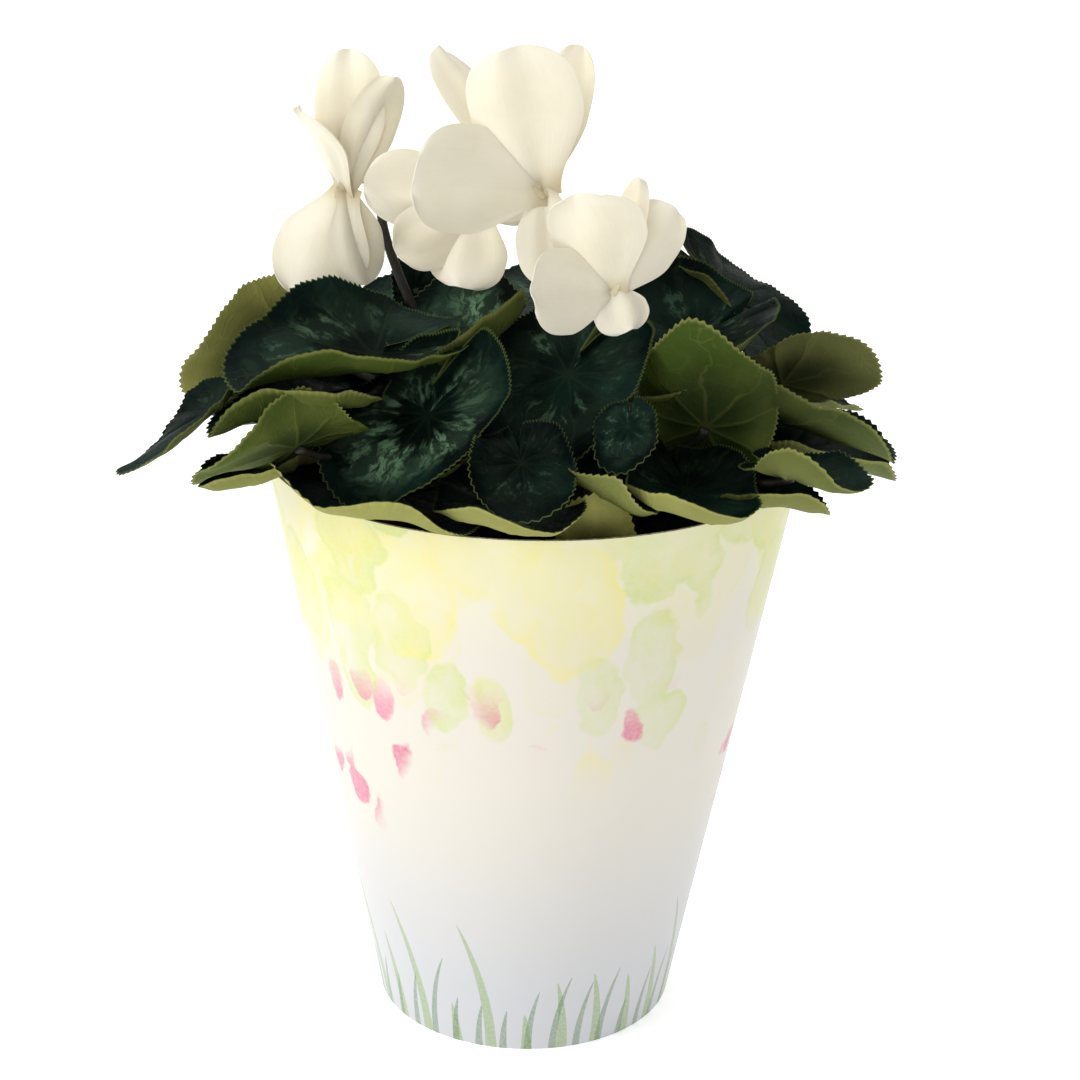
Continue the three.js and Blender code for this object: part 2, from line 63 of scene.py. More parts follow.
LEAF = SimpleNamespace(
    lobe_spread=0.7,
    tip_share=0.3,
    half_width=0.72,
    notch_width=0.2,
    notch_depth=0.88,
    towards_notch=0.38,
    wave=0.05,
    waves=5,
    phase_step=2.4,
)
PETIOLE = SimpleNamespace(radius=1.15, upright=0.6, ending=0.25, forward=0.5, normal=0.3)
PETAL = SimpleNamespace(base_share=0.3, open_by=0.55, cup=18, face=15)
THROAT = SimpleNamespace(radius=3.2, back=1.8)
CALYX = SimpleNamespace(radius=3.0, length=3.5, sepals=5, reach=1.1)
STALK = SimpleNamespace(radius=1.15, rise=5, reach=7, drop=16, shoulder=0.4, low=0.35, into=1)

# Each leaf, as in the part: where the stalk meets the blade, the way its tip points, its roll,
# length, the curl of its sides and of its tip, and how broad it is. Then for the looks: how much
# silver its face carries, how pale and how yellow its underside is, how high its rim turns up
# (below 0: how far it droops), and the azimuth that the turned rim faces.
LEAF_KEYS = (
    "name", "x", "y", "z", "azimuth", "elevation", "roll", "length",
    "sides", "tip", "broad", "silver", "pale", "yellow", "lip", "lip_to",
)
LEAVES = [
    ("crest_left", -21, -13, 188, 75, 10, -8, 24, 40, 40, 1.1, 1, 0.1, 0.7, 5, 300),
    ("left_back_fold", -40, -27, 190, 203, -6, -8, 35, 42, 10, 0.95, 0.5, 0.05, 0.9, 2.5, 275),
    ("far_left_high", -65, 12, 182, 203, -22, 58, 28, 20, 0, 0.9, 0.2, 0.7, 1, 1, 270),
    ("far_left_low", -80, -30, 176, 220, -26, 22, 25, 30, -10, 0.8, 0.2, 0.25, 0.3, 1.5, 270),
    ("left_rim", -53, -41, 182, 208, -4, 4, 25, 20, 0, 0.8, 0.25, 0.15, 0.9, 5, 275),
    ("left_low", -57, -54, 175, 211, -6, 42, 24, 30, -10, 0.85, 0.2, 0.1, 0.9, 1.5, 270),
    ("front_left_low", -33, -43, 159, 217, 5, -2, 23, 6, 5, 1.55, 0.2, 0.75, 0.7, 4.5, 240),
    ("front_left_face", -26, -44, 180, 232, -34, 0, 25, 20, 5, 1.0, 1, 0.15, 0.5, 4, 52),
    ("front_centre", 8, -34, 188, 226, -36, -15, 26, 25, -5, 1.05, 0.35, 0.2, 0.5, 4, 40),
    ("front_centre_low", -3, -63, 175, 279, -34, 0, 16, 25, 8, 1.05, 0.2, 0.3, 0.5, 1.5, 270),
    ("front_left_inner", -24, -48, 170, 245, -10, 0, 15, 15, 10, 1.0, 0.2, 0.3, 0.5, 2, 270),
    ("front_turned", -6, -54, 161, 272, -8, 0, 23, 28, 20, 1.05, 0.4, 0.7, 0.7, 3, 275),
    ("front_upright", 15, -59, 147, 268, 78, 0, 18, 20, 10, 0.75, 0.2, 0.9, 0.8, 0.5, 270),
    ("front_right_band", 17, -47, 162, 262, 6, -25, 24, 20, 40, 0.75, 0.3, 0.4, 0.6, 1, 270),
    ("front_right_face", 37, -49, 164, 284, -18, 0, 23, 42, 34, 0.95, 0.25, 0.65, 0.6, 3.5, 262),
    ("front_right_small", 22, -58, 183, 260, -52, 10, 10, 20, 0, 1.0, 0.4, 0.3, 0.6, 1.5, 270),
    ("right_tent", 42, -36, 176, 262, 65, 0, 28, 20, 10, 0.8, 0.3, 0, 0.85, 5, 80),
    ("right_fold", 59, -20, 173, 338, -6, -20, 30, 50, -10, 0.85, 0.2, 0.1, 0.6, 2, 270),
    ("right_low", 62, -54, 170, 329, -4, -5, 17, 40, 10, 1.0, 0.2, 0.22, 0.6, 2.5, 275),
    ("right_rim", 52, -40, 159, 325, 4, -4, 20, 20, 0, 0.9, 0.2, 0.35, 0.6, 2.5, 280),
    ("right_face", 40, -5, 188, 208, -27, -10, 32, 35, 15, 1.1, 0.3, 0.1, 0.7, 5, 250),
    ("right_crest", 49, 31, 192, 324, -36, -12, 27, 20, -10, 1.0, 0.2, 0.2, 0.5, 1.5, 270),
    ("far_right_high", 64, 1, 176, 343, 20, -60, 24, 20, 0, 0.65, 0.2, 0.4, 0.1, 0.5, 270),
    ("crest_young", -32, 14, 196, 93, 72, 0, 9, 20, 0, 0.9, 0.2, 0.3, 1, 0.5, 270),
    ("left_inside", -52, 4, 166, 195, 0, 0, 25, 20, 0, 1.1, 0.2, 0.2, 0.5, 3, 270),
    ("left_under", -64, -32, 163, 215, -8, 0, 18, 20, 0, 0.9, 0.2, 0.5, 0.7, 4, 265),
    ("right_inside", 46, -20, 152, 215, -30, 0, 22, 20, 0, 1.1, 0.2, 0.2, 0.5, 1, 270),
    ("right_under", 65, -6, 160, 345, -5, 0, 26, 20, 0, 1.1, 0.2, 0.15, 0.5, 4, 280),
    # the far side
    ("back_right", 42, 45, 176, 48, -20, 0, 26, 30, 0, 1.0, 0.45, 0.2, 0.5, 1.5, 48),
    ("back_right_high", 24, 34, 192, 60, -15, 0, 22, 30, 0, 1.0, 0.45, 0.2, 0.5, 1.5, 60),
    ("back_centre_low", 14, 54, 172, 78, -25, 0, 30, 30, 0, 0.9, 0.45, 0.2, 0.5, 1.5, 78),
    ("back_centre_high", -4, 26, 188, 75, 0, 0, 25, 25, 0, 1.05, 0.45, 0.2, 0.5, 1.5, 75),
    ("back_left_low", -25, 54, 172, 116, -20, 0, 28, 30, 0, 1.0, 0.45, 0.2, 0.5, 1.5, 116),
    ("back_left_high", -38, 30, 186, 140, -15, 0, 24, 30, 0, 1.0, 0.45, 0.2, 0.5, 1.5, 140),
    ("back_left_side", -51, 41, 166, 142, -20, 0, 27, 30, 0, 0.9, 0.45, 0.2, 0.5, -9, 322),
    ("back_right_side", 62, 26, 166, 18, -14, 0, 24, 30, 0, 0.9, 0.45, 0.2, 0.5, 1.5, 18),
]

# Each bloom: the heart where its petals meet, the azimuth and elevation of its mouth, the side its
# stalk stands on, then its petals: azimuth, elevation, length, width, twist, curl, and the azimuth
# that the petal's face looks to.
BLOOMS = {
    "bloom_left": {
        "heart": (-49, 2, 224),
        "mouth": (255, -30),
        "side": -20,
        "petals": [
            (72, 81, 36, 18, 10, 10, 270),
            (20, 68, 32, 14, -25, 10, 285),
            (205, 68, 26, 12, 30, 15, 235),
            (208, -64, 30, 25, 0, -10, 265),
            (-40, -72, 24, 15, 10, -5, 290),
        ],
    },
    "bloom_top": {
        "heart": (1, -20, 231),
        "mouth": (275, -30),
        "side": 86,
        "petals": [
            (205, 76, 38, 28, 0, 15, 262),
            (195, 9, 35, 27, 10, 20, 265),
            (54, 68, 36, 13, 25, 0, 280),
            (160, 48, 43, 14, -30, 0, 288),
            (300, -74, 24, 17, 0, 0, 268),
        ],
    },
    "bloom_low": {
        "heart": (-15, -3, 221),
        "mouth": (262, -30),
        "side": 84,
        "petals": [
            (178, 16, 30, 20, 15, 10, 270),
            (206, -20, 25, 17, 0, 10, 270),
            (245, -58, 21, 20, 0, 10, 265),
            (138, 52, 20, 15, 0, 10, 250),
            (24, 16, 18, 14, 0, 10, 290),
        ],
    },
    "bloom_right": {
        "heart": (18, -35, 210),
        "mouth": (278, -30),
        "side": 110,
        "petals": [
            (215, 72, 28, 24, 10, 15, 262),
            (25, 52, 25, 18, -20, 10, 275),
            (36, 75, 28, 9, 20, 0, 250),
            (205, 4, 23, 21, 0, 15, 255),
            (-50, -50, 11, 14, 0, -10, 280),
        ],
    },
}
BUD = {"tip": (8, -16, 207), "radius": 3.6, "length": 17, "side": 90}

# ---- the looks, beyond the solids

# How finely the looks are cut, and how they differ from the part's solids. "lumps" gives the
# height and the size of a rough surface's lumps.
BLADE_MESH = SimpleNamespace(
    girth=0.8,  # the blade's mean reach, of the length
    tooth_pitch=1.25,
    points_per_tooth=3,
    tooth_height=0.8,
    notch_share=0.38,  # the notch's width, of the solid's
    point=0.07,  # how far the tip is drawn out, of the length
    lobes=0.022,  # how far the edge wanders in and out, of the length
    rings=(0.05, 0.12, 0.22, 0.34, 0.46, 0.58, 0.68, 0.76, 0.82, 0.87, 0.91, 0.945, 0.975, 1.0),
    thickness=0.5,
    edge_thickness=0.22,
    vein_sink=0.22,
    pucker=0.3,
    ruffle=0.008,
    rim_curl=0.5,
    swell=0.075,  # broad waves beyond the solid's, of the length
    lip_from=0.72,  # where a turned rim starts, as a share of the reach
    lip_spread=75,  # degrees to each side of its middle
    lip_steepness=2.4,
    lip_reach=0.9,  # how much further out a turned rim runs, of its height
    fullness=1.05,  # the leaf's size, of its solid's
)
# Leaves drawn larger or smaller still.
FULLER = {
    "front_left_face": 1.12,
    "front_left_low": 1.08,
    "left_back_fold": 0.98,
    "front_left_inner": 0.8,
    "left_inside": 1.15,
    "crest_left": 1.03,
    "right_crest": 1.15,
    "back_centre_high": 1.08,
}
# Leaves in stronger or gentler broad waves than the rest.
WAVIER = {
    "front_left_low": 0.4,
    "front_centre_low": 2.2,
    "front_right_small": 1.8,
    "right_tent": 1.6,
    "left_low": 1.5,
}
VEIN_COUNT = 9
ROUND_SIDES = 40
TUBE_MESH = {"petiole": {"sides": 8, "steps": 26}, "stalk": {"sides": 12, "steps": 60}}
STALK_TAPER = {"bloom": (1.15, 0.95), "bud": (1.1, 0.9)}
BUD_FLUTES = SimpleNamespace(count=5, height=0.22, winding=0.35, from_top=4)
PETAL_MESH = SimpleNamespace(
    start=-1.8,  # each petal starts behind the heart, so that the bases cross there
    across=26,
    along=34,
    thickness=0.45,
    widest_at=0.63,
    ends_at=1.04,  # past the tip, which stays blunt
    blunt=2.3,
    tip_round=0.035,
    fold=0.5,  # how far its folds, its middle ridge, its wavy tip and its hem stand off
    ridge=0.6,
    ruffle=(0.9, 0.3),
    hem=0.8,
    phase_steps=(1.3, 0.9),  # from petal to petal and from bloom to bloom
)
KNOT = SimpleNamespace(share=0.72, back=1.5, flutes=5, flute=0.3)
SEPAL = SimpleNamespace(rows=7, sides=60, thickness=0.35, droop=0.9)
COVER_MESH = SimpleNamespace(rows=42, sides=180, rim_rise=0.08, rim_round=0.2)
SEAM_MESH = SimpleNamespace(inset=0.6, proud=0.45, sunk=0.2, columns=9, rows=40, print_shift=0.31)
SOIL = SimpleNamespace(
    foot=36.5,
    fall=2.5,
    edge=(0.6, 1.5),  # how far in its top edge and the first ring of its top lie
    sunk=0.2,
    rings=26,
    well=8,
    step=6,
    sides=120,
    lumps=(1.4, 3.0),
)
CHIPS = SimpleNamespace(
    count=620, seed=7, bark=(0.8, 2.4), grit=(0.7, 1.3), grit_every=9, from_tuber=0.5, from_pot=2
)
TUBER = SimpleNamespace(
    foot=(0.7, 6),  # its share of the radius, and how far it lies below the middle
    crown=(1.5, 3.5),  # how far in the crown's flat lip starts and ends
    dish=4,
    dish_depth=3.5,
    step=1.2,
    sides=90,
    lumps=(0.8, 4.0),
)

# The print's round washes: cells to the millimetre, colour, strength. Its dabs fade in and out
# between two heights each. Its rows of grass: pitch, height, lean, colour.
WASHES = ((0.045, "wash_yellow", 0.7), (0.06, "wash_green", 0.8), (0.075, "wash_warm", 0.3))
WASH_DEPTH = 80
DABS = SimpleNamespace(low=(52.0, 62.0), high=(100.0, 116.0))
GRASS = ((13.0, 34.0, 0.006, "blade_green"), (9.0, 24.0, -0.009, "blade_grey"))

STAGE = SimpleNamespace(half=2600, front=-2200, back=1800, bend=500, tall=2600, steps=12, glow=0.5)
# Each light: where it stands and where it points in metres, its size and its power.
LIGHTS = {
    "key": ((-1.2, -0.65, 0.95), (0, 0, 0.15), 0.8, 11.5),
    "front": ((-0.3, -1.4, 0.35), (0, 0, 0.2), 1.0, 3),
    "top": ((0.1, 0.6, 1.5), (0, 0.2, 0.1), 1.4, 9),
}
WORLD_STRENGTH = 0.4

# Worked out from the cover's rim and foot in the photograph.
CAMERA = SimpleNamespace(
    position=(0.0, -628.3, 374.1),
    pitch=21.12,
    yaw=0.18,
    roll=1.20,
    focal_px=2536.1,
    frame_px=1080,
    sensor=36.0,
)

PALETTE = {
    "leaf_dark": (4, 13, 11),
    "leaf_mid": (13, 34, 28),
    "leaf_silver": (98, 130, 100),
    "leaf_margin": (104, 120, 62),
    "under_olive": (62, 80, 22),
    "under_pale": (159, 157, 88),
    # Painted shade on the leaf undersides, towards the stalk.
    "under_shade": (24, 40, 18),
    "under_grey": (62, 78, 50),
    "petiole": (34, 28, 22),
    "petal": (246, 238, 217),
    # Painted shade at the petals' heart.
    "petal_heart_shade": (206, 188, 148),
    "petal_green": (222, 214, 184),
    "stalk": (38, 33, 27),
    "stalk_green": (42, 46, 32),
    "calyx": (84, 92, 52),
    "bud": (150, 132, 84),
    "card": (219, 214, 202),
    "card_cool": (201, 202, 206),
    "card_edge": (240, 236, 224),
    # The card's inside, darkened as painted shade within the cover; also a mottle colour for the
    # card's edge and the grit.
    "card_inside_shade": (150, 140, 122),
    "wash_pale": (234, 233, 180),
    "wash_yellow": (230, 220, 84),
    "wash_green": (194, 210, 108),
    "wash_warm": (226, 212, 118),
    "dab_pink": (232, 132, 160),
    "dab_rose": (205, 84, 130),
    "blade_green": (140, 168, 92),
    "blade_grey": (104, 134, 92),
    "plastic": (112, 60, 42),
    "soil_dark": (32, 23, 16),
    "soil_mid": (78, 58, 40),
    "soil_grit": (196, 188, 172),
    "tuber_dark": (58, 42, 32),
    "tuber_mid": (110, 84, 62),
    "floor": (246, 246, 245),
}


# ---- vectors and curves


def direction(azimuth, elevation):
    a = math.radians(azimuth)
    e = math.radians(elevation)
    return np.array([math.cos(a) * math.cos(e), math.sin(a) * math.cos(e), math.sin(e)])


def unit(v):
    return v / np.linalg.norm(v)


def smoothstep(value, low, high):
    t = np.clip((value - low) / (high - low), 0, 1)
    return t * t * (3 - 2 * t)


def on_arc(distance, curve):
    """How far along and how far up points lie once their straight line is bent to a circle."""
    if abs(curve) < 1e-6:
        return distance, np.zeros_like(distance)
    return np.sin(curve * distance) / curve, (1 - np.cos(curve * distance)) / curve


def bent(x, y, curve_x, curve_y):
    """Where points x, y of a flat sheet lie once its x line and its y line are bent."""
    along, lift = on_arc(x, curve_x)
    across, rise = on_arc(y, curve_y)
    turn = curve_x * x
    return np.stack([along - rise * np.sin(turn), across, lift + rise * np.cos(turn)], axis=-1)


def bezier(p0, p1, p2, p3, steps):
    t = np.linspace(0, 1, steps + 1)[:, None]
    s = 1 - t
    return s**3 * p0 + 3 * s * s * t * p1 + 3 * s * t * t * p2 + t**3 * p3


def through(points, steps):
    """A centripetal Catmull-Rom curve through the points."""
    p = np.array(points, float)
    p = np.vstack([2 * p[0] - p[1], p, 2 * p[-1] - p[-2]])
    spans = len(p) - 3
    out = []
    for k in range(steps + 1):
        place = min(k / steps * spans, spans - 1e-9)
        i = int(place)
        w = place - i
        a, b, c, d = p[i : i + 4]
        ta, tb, tc = (max(np.linalg.norm(v), 1e-4) ** 0.5 for v in (b - a, c - b, d - c))
        m1 = ((b - a) / ta - (c - a) / (ta + tb) + (c - b) / tb) * tb
        m2 = ((c - b) / tb - (d - b) / (tb + tc) + (d - c) / tc) * tb
        w2, w3 = w * w, w**3
        ends = (2 * w3 - 3 * w2 + 1) * b + (3 * w2 - 2 * w3) * c
        out.append(ends + (w3 - 2 * w2 + w) * m1 + (w3 - w2) * m2)
    return np.array(out)


# ---- meshes


def add_object(name, data):
    made = bpy.data.objects.new(name, data)
    bpy.context.scene.collection.objects.link(made)
    return made


class Shape:
    """Gathers points (mm) and faces, with a material index per face, a UV pair per face corner
    and a share (how far out on its leaf or petal) per point."""

    def __init__(self):
        self.points = []
        self.shares = []
        self.faces = []
        self.slots = []
        self.uvs = []
        self.count = 0

    def add(self, points, faces, uv, slot=0, share=None):
        """Adds faces over new points. uv is an array of a pair per point, or a list of each face's
        pairs."""
        points = np.asarray(points, float)
        self.points.append(points)
        self.shares.append(np.zeros(len(points)) if share is None else share)
        for n, face in enumerate(faces):
            self.faces.append([self.count + int(i) for i in face])
            self.uvs.extend(uv[n] if isinstance(uv, list) else uv[list(face)])
        self.slots.extend([slot] * len(faces))
        self.count += len(points)

    def build(self, name, materials, **values):
        """Makes the Blender object, with each of values as a constant point attribute."""
        mesh = bpy.data.meshes.new(name)
        points = np.concatenate(self.points) * MM
        mesh.from_pydata(points.tolist(), [], self.faces)
        for material in materials:
            mesh.materials.append(material)
        mesh.polygons.foreach_set("material_index", self.slots)
        mesh.polygons.foreach_set("use_smooth", [True] * len(self.faces))
        uv = mesh.uv_layers.new(name="flat")
        uv.data.foreach_set("uv", np.array(self.uvs, np.float32).ravel())
        values["share"] = np.concatenate(self.shares)
        for key, value in values.items():
            attribute = mesh.attributes.new(key, "FLOAT", "POINT")
            spread = np.broadcast_to(np.asarray(value, np.float32), len(points))
            attribute.data.foreach_set("value", np.ascontiguousarray(spread))
        mesh.update()
        return add_object(name, mesh)


def grid_quads(rows, columns, closed=False):
    """Quads over rows of points; closed joins each row's last point to its first."""
    r = np.arange(rows - 1)[:, None]
    c = np.arange(columns if closed else columns - 1)[None, :]
    d = (c + 1) % columns
    corners = [r * columns + c, r * columns + d, (r + 1) * columns + d, (r + 1) * columns + c]
    return np.stack(corners, axis=-1).reshape(-1, 4)


def edge_band(rows, columns):
    """Quads round the border of a sheet, between its front grid and the back grid listed after."""
    n = rows * columns
    ids = np.arange(n).reshape(rows, columns)
    border = np.concatenate([ids[0], ids[1:, -1], ids[-1, -2::-1], ids[-2:0:-1, 0]])
    after = np.roll(border, -1)
    return [(n + b, n + a, a, b) for a, b in zip(border, after)]


def two_faces(shape, middle, offset, faces, uv, share, back_slot):
    """Adds both faces of a sheet, each at that offset from its middle, and returns their points."""
    front, back = middle + offset, middle - offset
    shape.add(front, faces, uv, 0, share)
    shape.add(back, [face[::-1] for face in faces], uv, back_slot, share)
    return front, back


def quad_normals(points, quads):
    """The smooth normal at each point."""
    normals = np.zeros_like(points)
    a, b, c, d = (points[quads[:, k]] for k in range(4))
    face = np.cross(c - a, d - b)
    for k in range(4):
        np.add.at(normals, quads[:, k], face)
    return normals / np.maximum(np.linalg.norm(normals, axis=1, keepdims=True), 1e-12)


def loft(shape, rings, along, slot=0):
    """Joins rings of points, listed so that the faces look outward. A ring of one point is a pole.
    Each face's UV pairs run from 0 to 1 round the rings and by the values of along."""
    sides = max(len(ring) for ring in rings)
    starts = np.cumsum([0] + [len(ring) for ring in rings])
    faces, uvs = [], []
    for k in range(len(rings) - 1):
        for c in range(sides):
            corners = [(k, c), (k, c + 1), (k + 1, c + 1), (k + 1, c)]
            face = [starts[r] + i % sides % len(rings[r]) for r, i in corners]
            keep = [i for i in range(4) if face[i] != face[(i + 1) % 4]]
            faces.append([face[i] for i in keep])
            uvs.append([(corners[i][1] / sides, along[corners[i][0]]) for i in keep])
    shape.add(np.concatenate(rings), faces, uvs, slot)


def tube(shape, path, radii, sides, slot=0):
    """A capped round tube along a path, with no twist."""
    path = np.asarray(path, float)
    tangents = np.gradient(path, axis=0)
    side = unit(np.cross(tangents[0], [0.31, 0.87, 0.12]))
    turns = 2 * math.pi * np.arange(sides) / sides
    rings = [path[:1]]
    for p, tangent, radius in zip(path, tangents, radii):
        tangent = unit(tangent)
        side = unit(side - tangent * (side @ tangent))
        other = np.cross(tangent, side)
        rings.append(p + radius * (np.outer(np.cos(turns), side) + np.outer(np.sin(turns), other)))
    along = np.cumsum(np.linalg.norm(np.diff(path, axis=0), axis=1))
    loft(shape, rings + [path[-1:]], [0, 0, *along, along[-1]], slot)


def revolve(shape, profile, sides, slot=0, wobble=None):
    """Revolves a profile of (radius, z), listed so that faces look outward; radius 0 is a pole.
    wobble(angle, z) is added to the radius."""
    rings = []
    for r, z in profile:
        ring = []
        for k in range(sides if r else 1):
            a = 2 * math.pi * k / sides
            reach = r + (wobble(a, z) if r and wobble else 0)
            ring.append((reach * math.cos(a), reach * math.sin(a), z))
        rings.append(np.array(ring, float))
    loft(shape, rings, [z for _, z in profile], slot)


def add_placed(shape, body, turn, at, uv, slot=0):
    """Adds a body made at the origin, turned and moved, with the same UV pair all over."""
    points = np.concatenate(body.points) @ turn.T + at
    shape.add(points, body.faces, [[uv] * len(face) for face in body.faces], slot)


# ---- materials


class Shader:
    """A material's node tree around one Principled shader."""

    def __init__(self, name, roughness=0.5, specular=0.5):
        self.material = bpy.data.materials.new(name)
        self.material.use_nodes = True
        self.nodes = self.material.node_tree.nodes
        self.links = self.material.node_tree.links
        self.surface = self.nodes["Principled BSDF"]
        self.surface.inputs["Roughness"].default_value = roughness
        self.surface.inputs["Specular IOR Level"].default_value = specular

    def put(self, socket, value):
        """Feeds a socket from another socket, a plain value or a colour's name in the palette."""
        if isinstance(value, bpy.types.NodeSocket):
            self.links.new(value, socket)
        else:
            socket.default_value = linear(value) if isinstance(value, str) else value

    def make(self, kind, inputs, output=0, **settings):
        node = self.nodes.new(kind)
        for key, value in settings.items():
            setattr(node, key, value)
        for key, value in inputs.items():
            self.put(node.inputs[key], value)
        return node.outputs[output]

    def math(self, operation, a, b=0.0, c=0.0, clamp=False):
        settings = {"operation": operation, "use_clamp": clamp}
        return self.make("ShaderNodeMath", {0: a, 1: b, 2: c}, **settings)

    def times(self, first, *others):
        for other in others:
            first = self.math("MULTIPLY", first, other)
        return first

    def plus(self, a, b):
        return self.math("ADD", a, b)

    def minus(self, a, b):
        return self.math("SUBTRACT", a, b)

    def vector_math(self, operation, a, b):
        return self.make("ShaderNodeVectorMath", {0: a, 1: b}, operation=operation)

    def step(self, value, low, high, start=0.0, end=1.0):
        inputs = {"Value": value, "From Min": low, "From Max": high, "To Min": start, "To Max": end}
        return self.make("ShaderNodeMapRange", inputs, interpolation_type="SMOOTHSTEP")

    def mix(self, share, a, b):
        return self.make("ShaderNodeMix", {0: share, 6: a, 7: b}, 2, data_type="RGBA")

    def noise(self, vector, scale, detail=3.0, roughness=0.55, output=0):
        inputs = {"Vector": vector, "Scale": scale, "Detail": detail, "Roughness": roughness}
        return self.make("ShaderNodeTexNoise", inputs, output)

    def cells(self, vector, scale, feature="F1", output="Distance"):
        inputs = {"Vector": vector, "Scale": scale}
        return self.make("ShaderNodeTexVoronoi", inputs, output, feature=feature)

    def vector(self, x, y, z=0.0):
        return self.make("ShaderNodeCombineXYZ", {"X": x, "Y": y, "Z": z})

    def split(self, vector):
        node = self.nodes.new("ShaderNodeSeparateXYZ")
        self.put(node.inputs[0], vector)
        return node.outputs[0], node.outputs[1], node.outputs[2]

    def uv(self):
        return self.make("ShaderNodeUVMap", {}, uv_map="flat")

    def place(self):
        """The point's own place in the part's frame, in metres."""
        return self.make("ShaderNodeTexCoord", {}, "Object")

    def value(self, name):
        return self.make("ShaderNodeAttribute", {}, "Fac", attribute_name=name)

    def colour(self, socket):
        self.put(self.surface.inputs["Base Color"], socket)

    def rough(self, socket):
        self.put(self.surface.inputs["Roughness"], socket)

    def bump(self, height, distance, strength=1.0, under=None):
        """Adds relief of that height in metres over any relief given as under."""
        inputs = {"Height": height, "Distance": distance, "Strength": strength}
        if under is not None:
            inputs["Normal"] = under
        normal = self.make("ShaderNodeBump", inputs)
        self.put(self.surface.inputs["Normal"], normal)
        return normal


def linear(name):
    """A palette colour, from its 0 to 255 screen values, as the shaders take it."""
    shares = [c / 255 for c in PALETTE[name]]
    parts = [c / 12.92 if c <= 0.04045 else ((c + 0.055) / 1.055) ** 2.4 for c in shares]
    return (*parts, 1.0)


def leaf_veins(s):
    """Vein masks of a blade from its flat coordinates: main veins from the stalk, and fine ones."""
    x, y, _ = s.split(s.uv())
    radius = s.math("SQRT", s.plus(s.times(x, x), s.times(y, y)))
    bend = s.minus(s.noise(s.uv(), 3.2, 2.0), 0.5)
    angle = s.plus(s.math("ARCTAN2", y, x), s.times(radius, 0.9, bend))
    wave = s.math("ABSOLUTE", s.math("SINE", s.times(angle, VEIN_COUNT / 2)))
    main = s.step(s.times(wave, radius, 2 / VEIN_COUNT), 0.006, 0.02, 1.0, 0.0)
    net = s.cells(s.vector(s.times(angle, 2.6), s.times(radius, 5.0)), 1.9, "DISTANCE_TO_EDGE")
    return angle, radius, main, s.step(net, 0.0, 0.07, 1.0, 0.0)


def leaf_upper():
    """Very dark green with a broken silver zone between the middle and the margin."""
    s = Shader("leaf upper", specular=0.03)
    angle, radius, main, fine = leaf_veins(s)
    share = s.value("share")
    silver = s.value("silver")
    ray = s.noise(s.vector(s.times(angle, 3.0), s.times(radius, 2.6), silver), 1.2, 4.0, 0.6)
    fleck = s.noise(s.vector(s.times(angle, 6.0), s.times(radius, 6.0), silver), 1.1, 4.0, 0.65)
    fleck = s.plus(fleck, s.times(silver, 0.12))
    wandering = s.plus(share, s.times(s.minus(ray, 0.5), 0.8))
    zone = s.times(s.step(wandering, 0.28, 0.5), s.step(wandering, 0.62, 0.9, 1.0, 0.0))
    patchy = s.step(s.noise(s.place(), 55.0, 1.0), 0.4, 0.6, 0.3, 1.0)
    between = s.minus(1.0, s.times(main, 0.8))
    marks = s.times(s.step(fleck, 0.54, 0.66), s.step(ray, 0.42, 0.56), zone, patchy, between)
    cloud = s.noise(s.place(), 60.0, 3.0)
    ground = s.mix(s.step(cloud, 0.35, 0.75), "leaf_dark", "leaf_mid")
    ground = s.mix(s.times(silver, 0.12, zone), ground, "leaf_silver")
    ground = s.mix(s.times(main, 0.03), ground, "leaf_margin")
    ground = s.mix(s.times(fine, 0.012), ground, "leaf_margin")
    colour = s.mix(s.math("MULTIPLY", marks, silver, clamp=True), ground, "leaf_silver")
    s.colour(s.mix(s.step(share, 0.98, 1.0, 0.0, 0.5), colour, "leaf_margin"))
    s.rough(s.step(s.noise(s.place(), 900.0), 0.2, 0.8, 0.42, 0.6))
    relief = s.minus(1.0, s.math("MAXIMUM", main, s.times(fine, 0.5)))
    under = s.bump(relief, 0.0003, 0.35)
    s.bump(s.noise(s.place(), 1400.0, 2.0), 0.00012, 0.4, under)
    return s.material


def leaf_under():
    """Olive to cream, darkened towards the stalk as painted shade, paler veins standing proud."""
    s = Shader("leaf under", 0.65, 0.08)
    _, _, main, fine = leaf_veins(s)
    share = s.value("share")
    cloud = s.times(s.minus(s.noise(s.place(), 45.0, 3.0), 0.5), 0.5)
    pale = s.math("ADD", s.value("pale"), cloud, clamp=True)
    ground = s.mix(s.value("yellow"), "under_grey", "under_olive")
    ground = s.mix(pale, ground, "under_pale")
    # Painted shade: the underside darkens towards the stalk, inside the mound.
    ground = s.mix(s.step(share, 0.3, 0.85, 0.75, 0.0), ground, "under_shade")
    for mask in (s.times(main, 0.08), s.times(fine, 0.03), s.step(share, 0.96, 1.0, 0.0, 0.5)):
        ground = s.mix(mask, ground, "under_pale")
    s.colour(ground)
    under = s.bump(s.math("MAXIMUM", main, s.times(fine, 0.4)), 0.0004, 0.35)
    s.bump(s.noise(s.place(), 1200.0, 2.0), 0.00015, 0.5, under)
    return s.material


def stem(name, dark, light, ridges):
    """A ridged, mottled stem: brown patches over green, fine lengthwise lines."""
    s = Shader(name, 0.5, 0.4)
    u, v, _ = s.split(s.uv())
    patches = s.noise(s.vector(s.times(u, 3.0), s.times(v, 0.25)), 1.0, 4.0)
    s.colour(s.mix(s.step(patches, 0.42, 0.72), dark, light))
    lines = s.noise(s.vector(s.times(u, ridges), s.times(v, 0.2)), 1.0, 2.0)
    under = s.bump(lines, 0.0003, 0.5)
    s.bump(s.noise(s.place(), 2200.0, 1.0), 0.00012, 0.4, under)
    return s.material


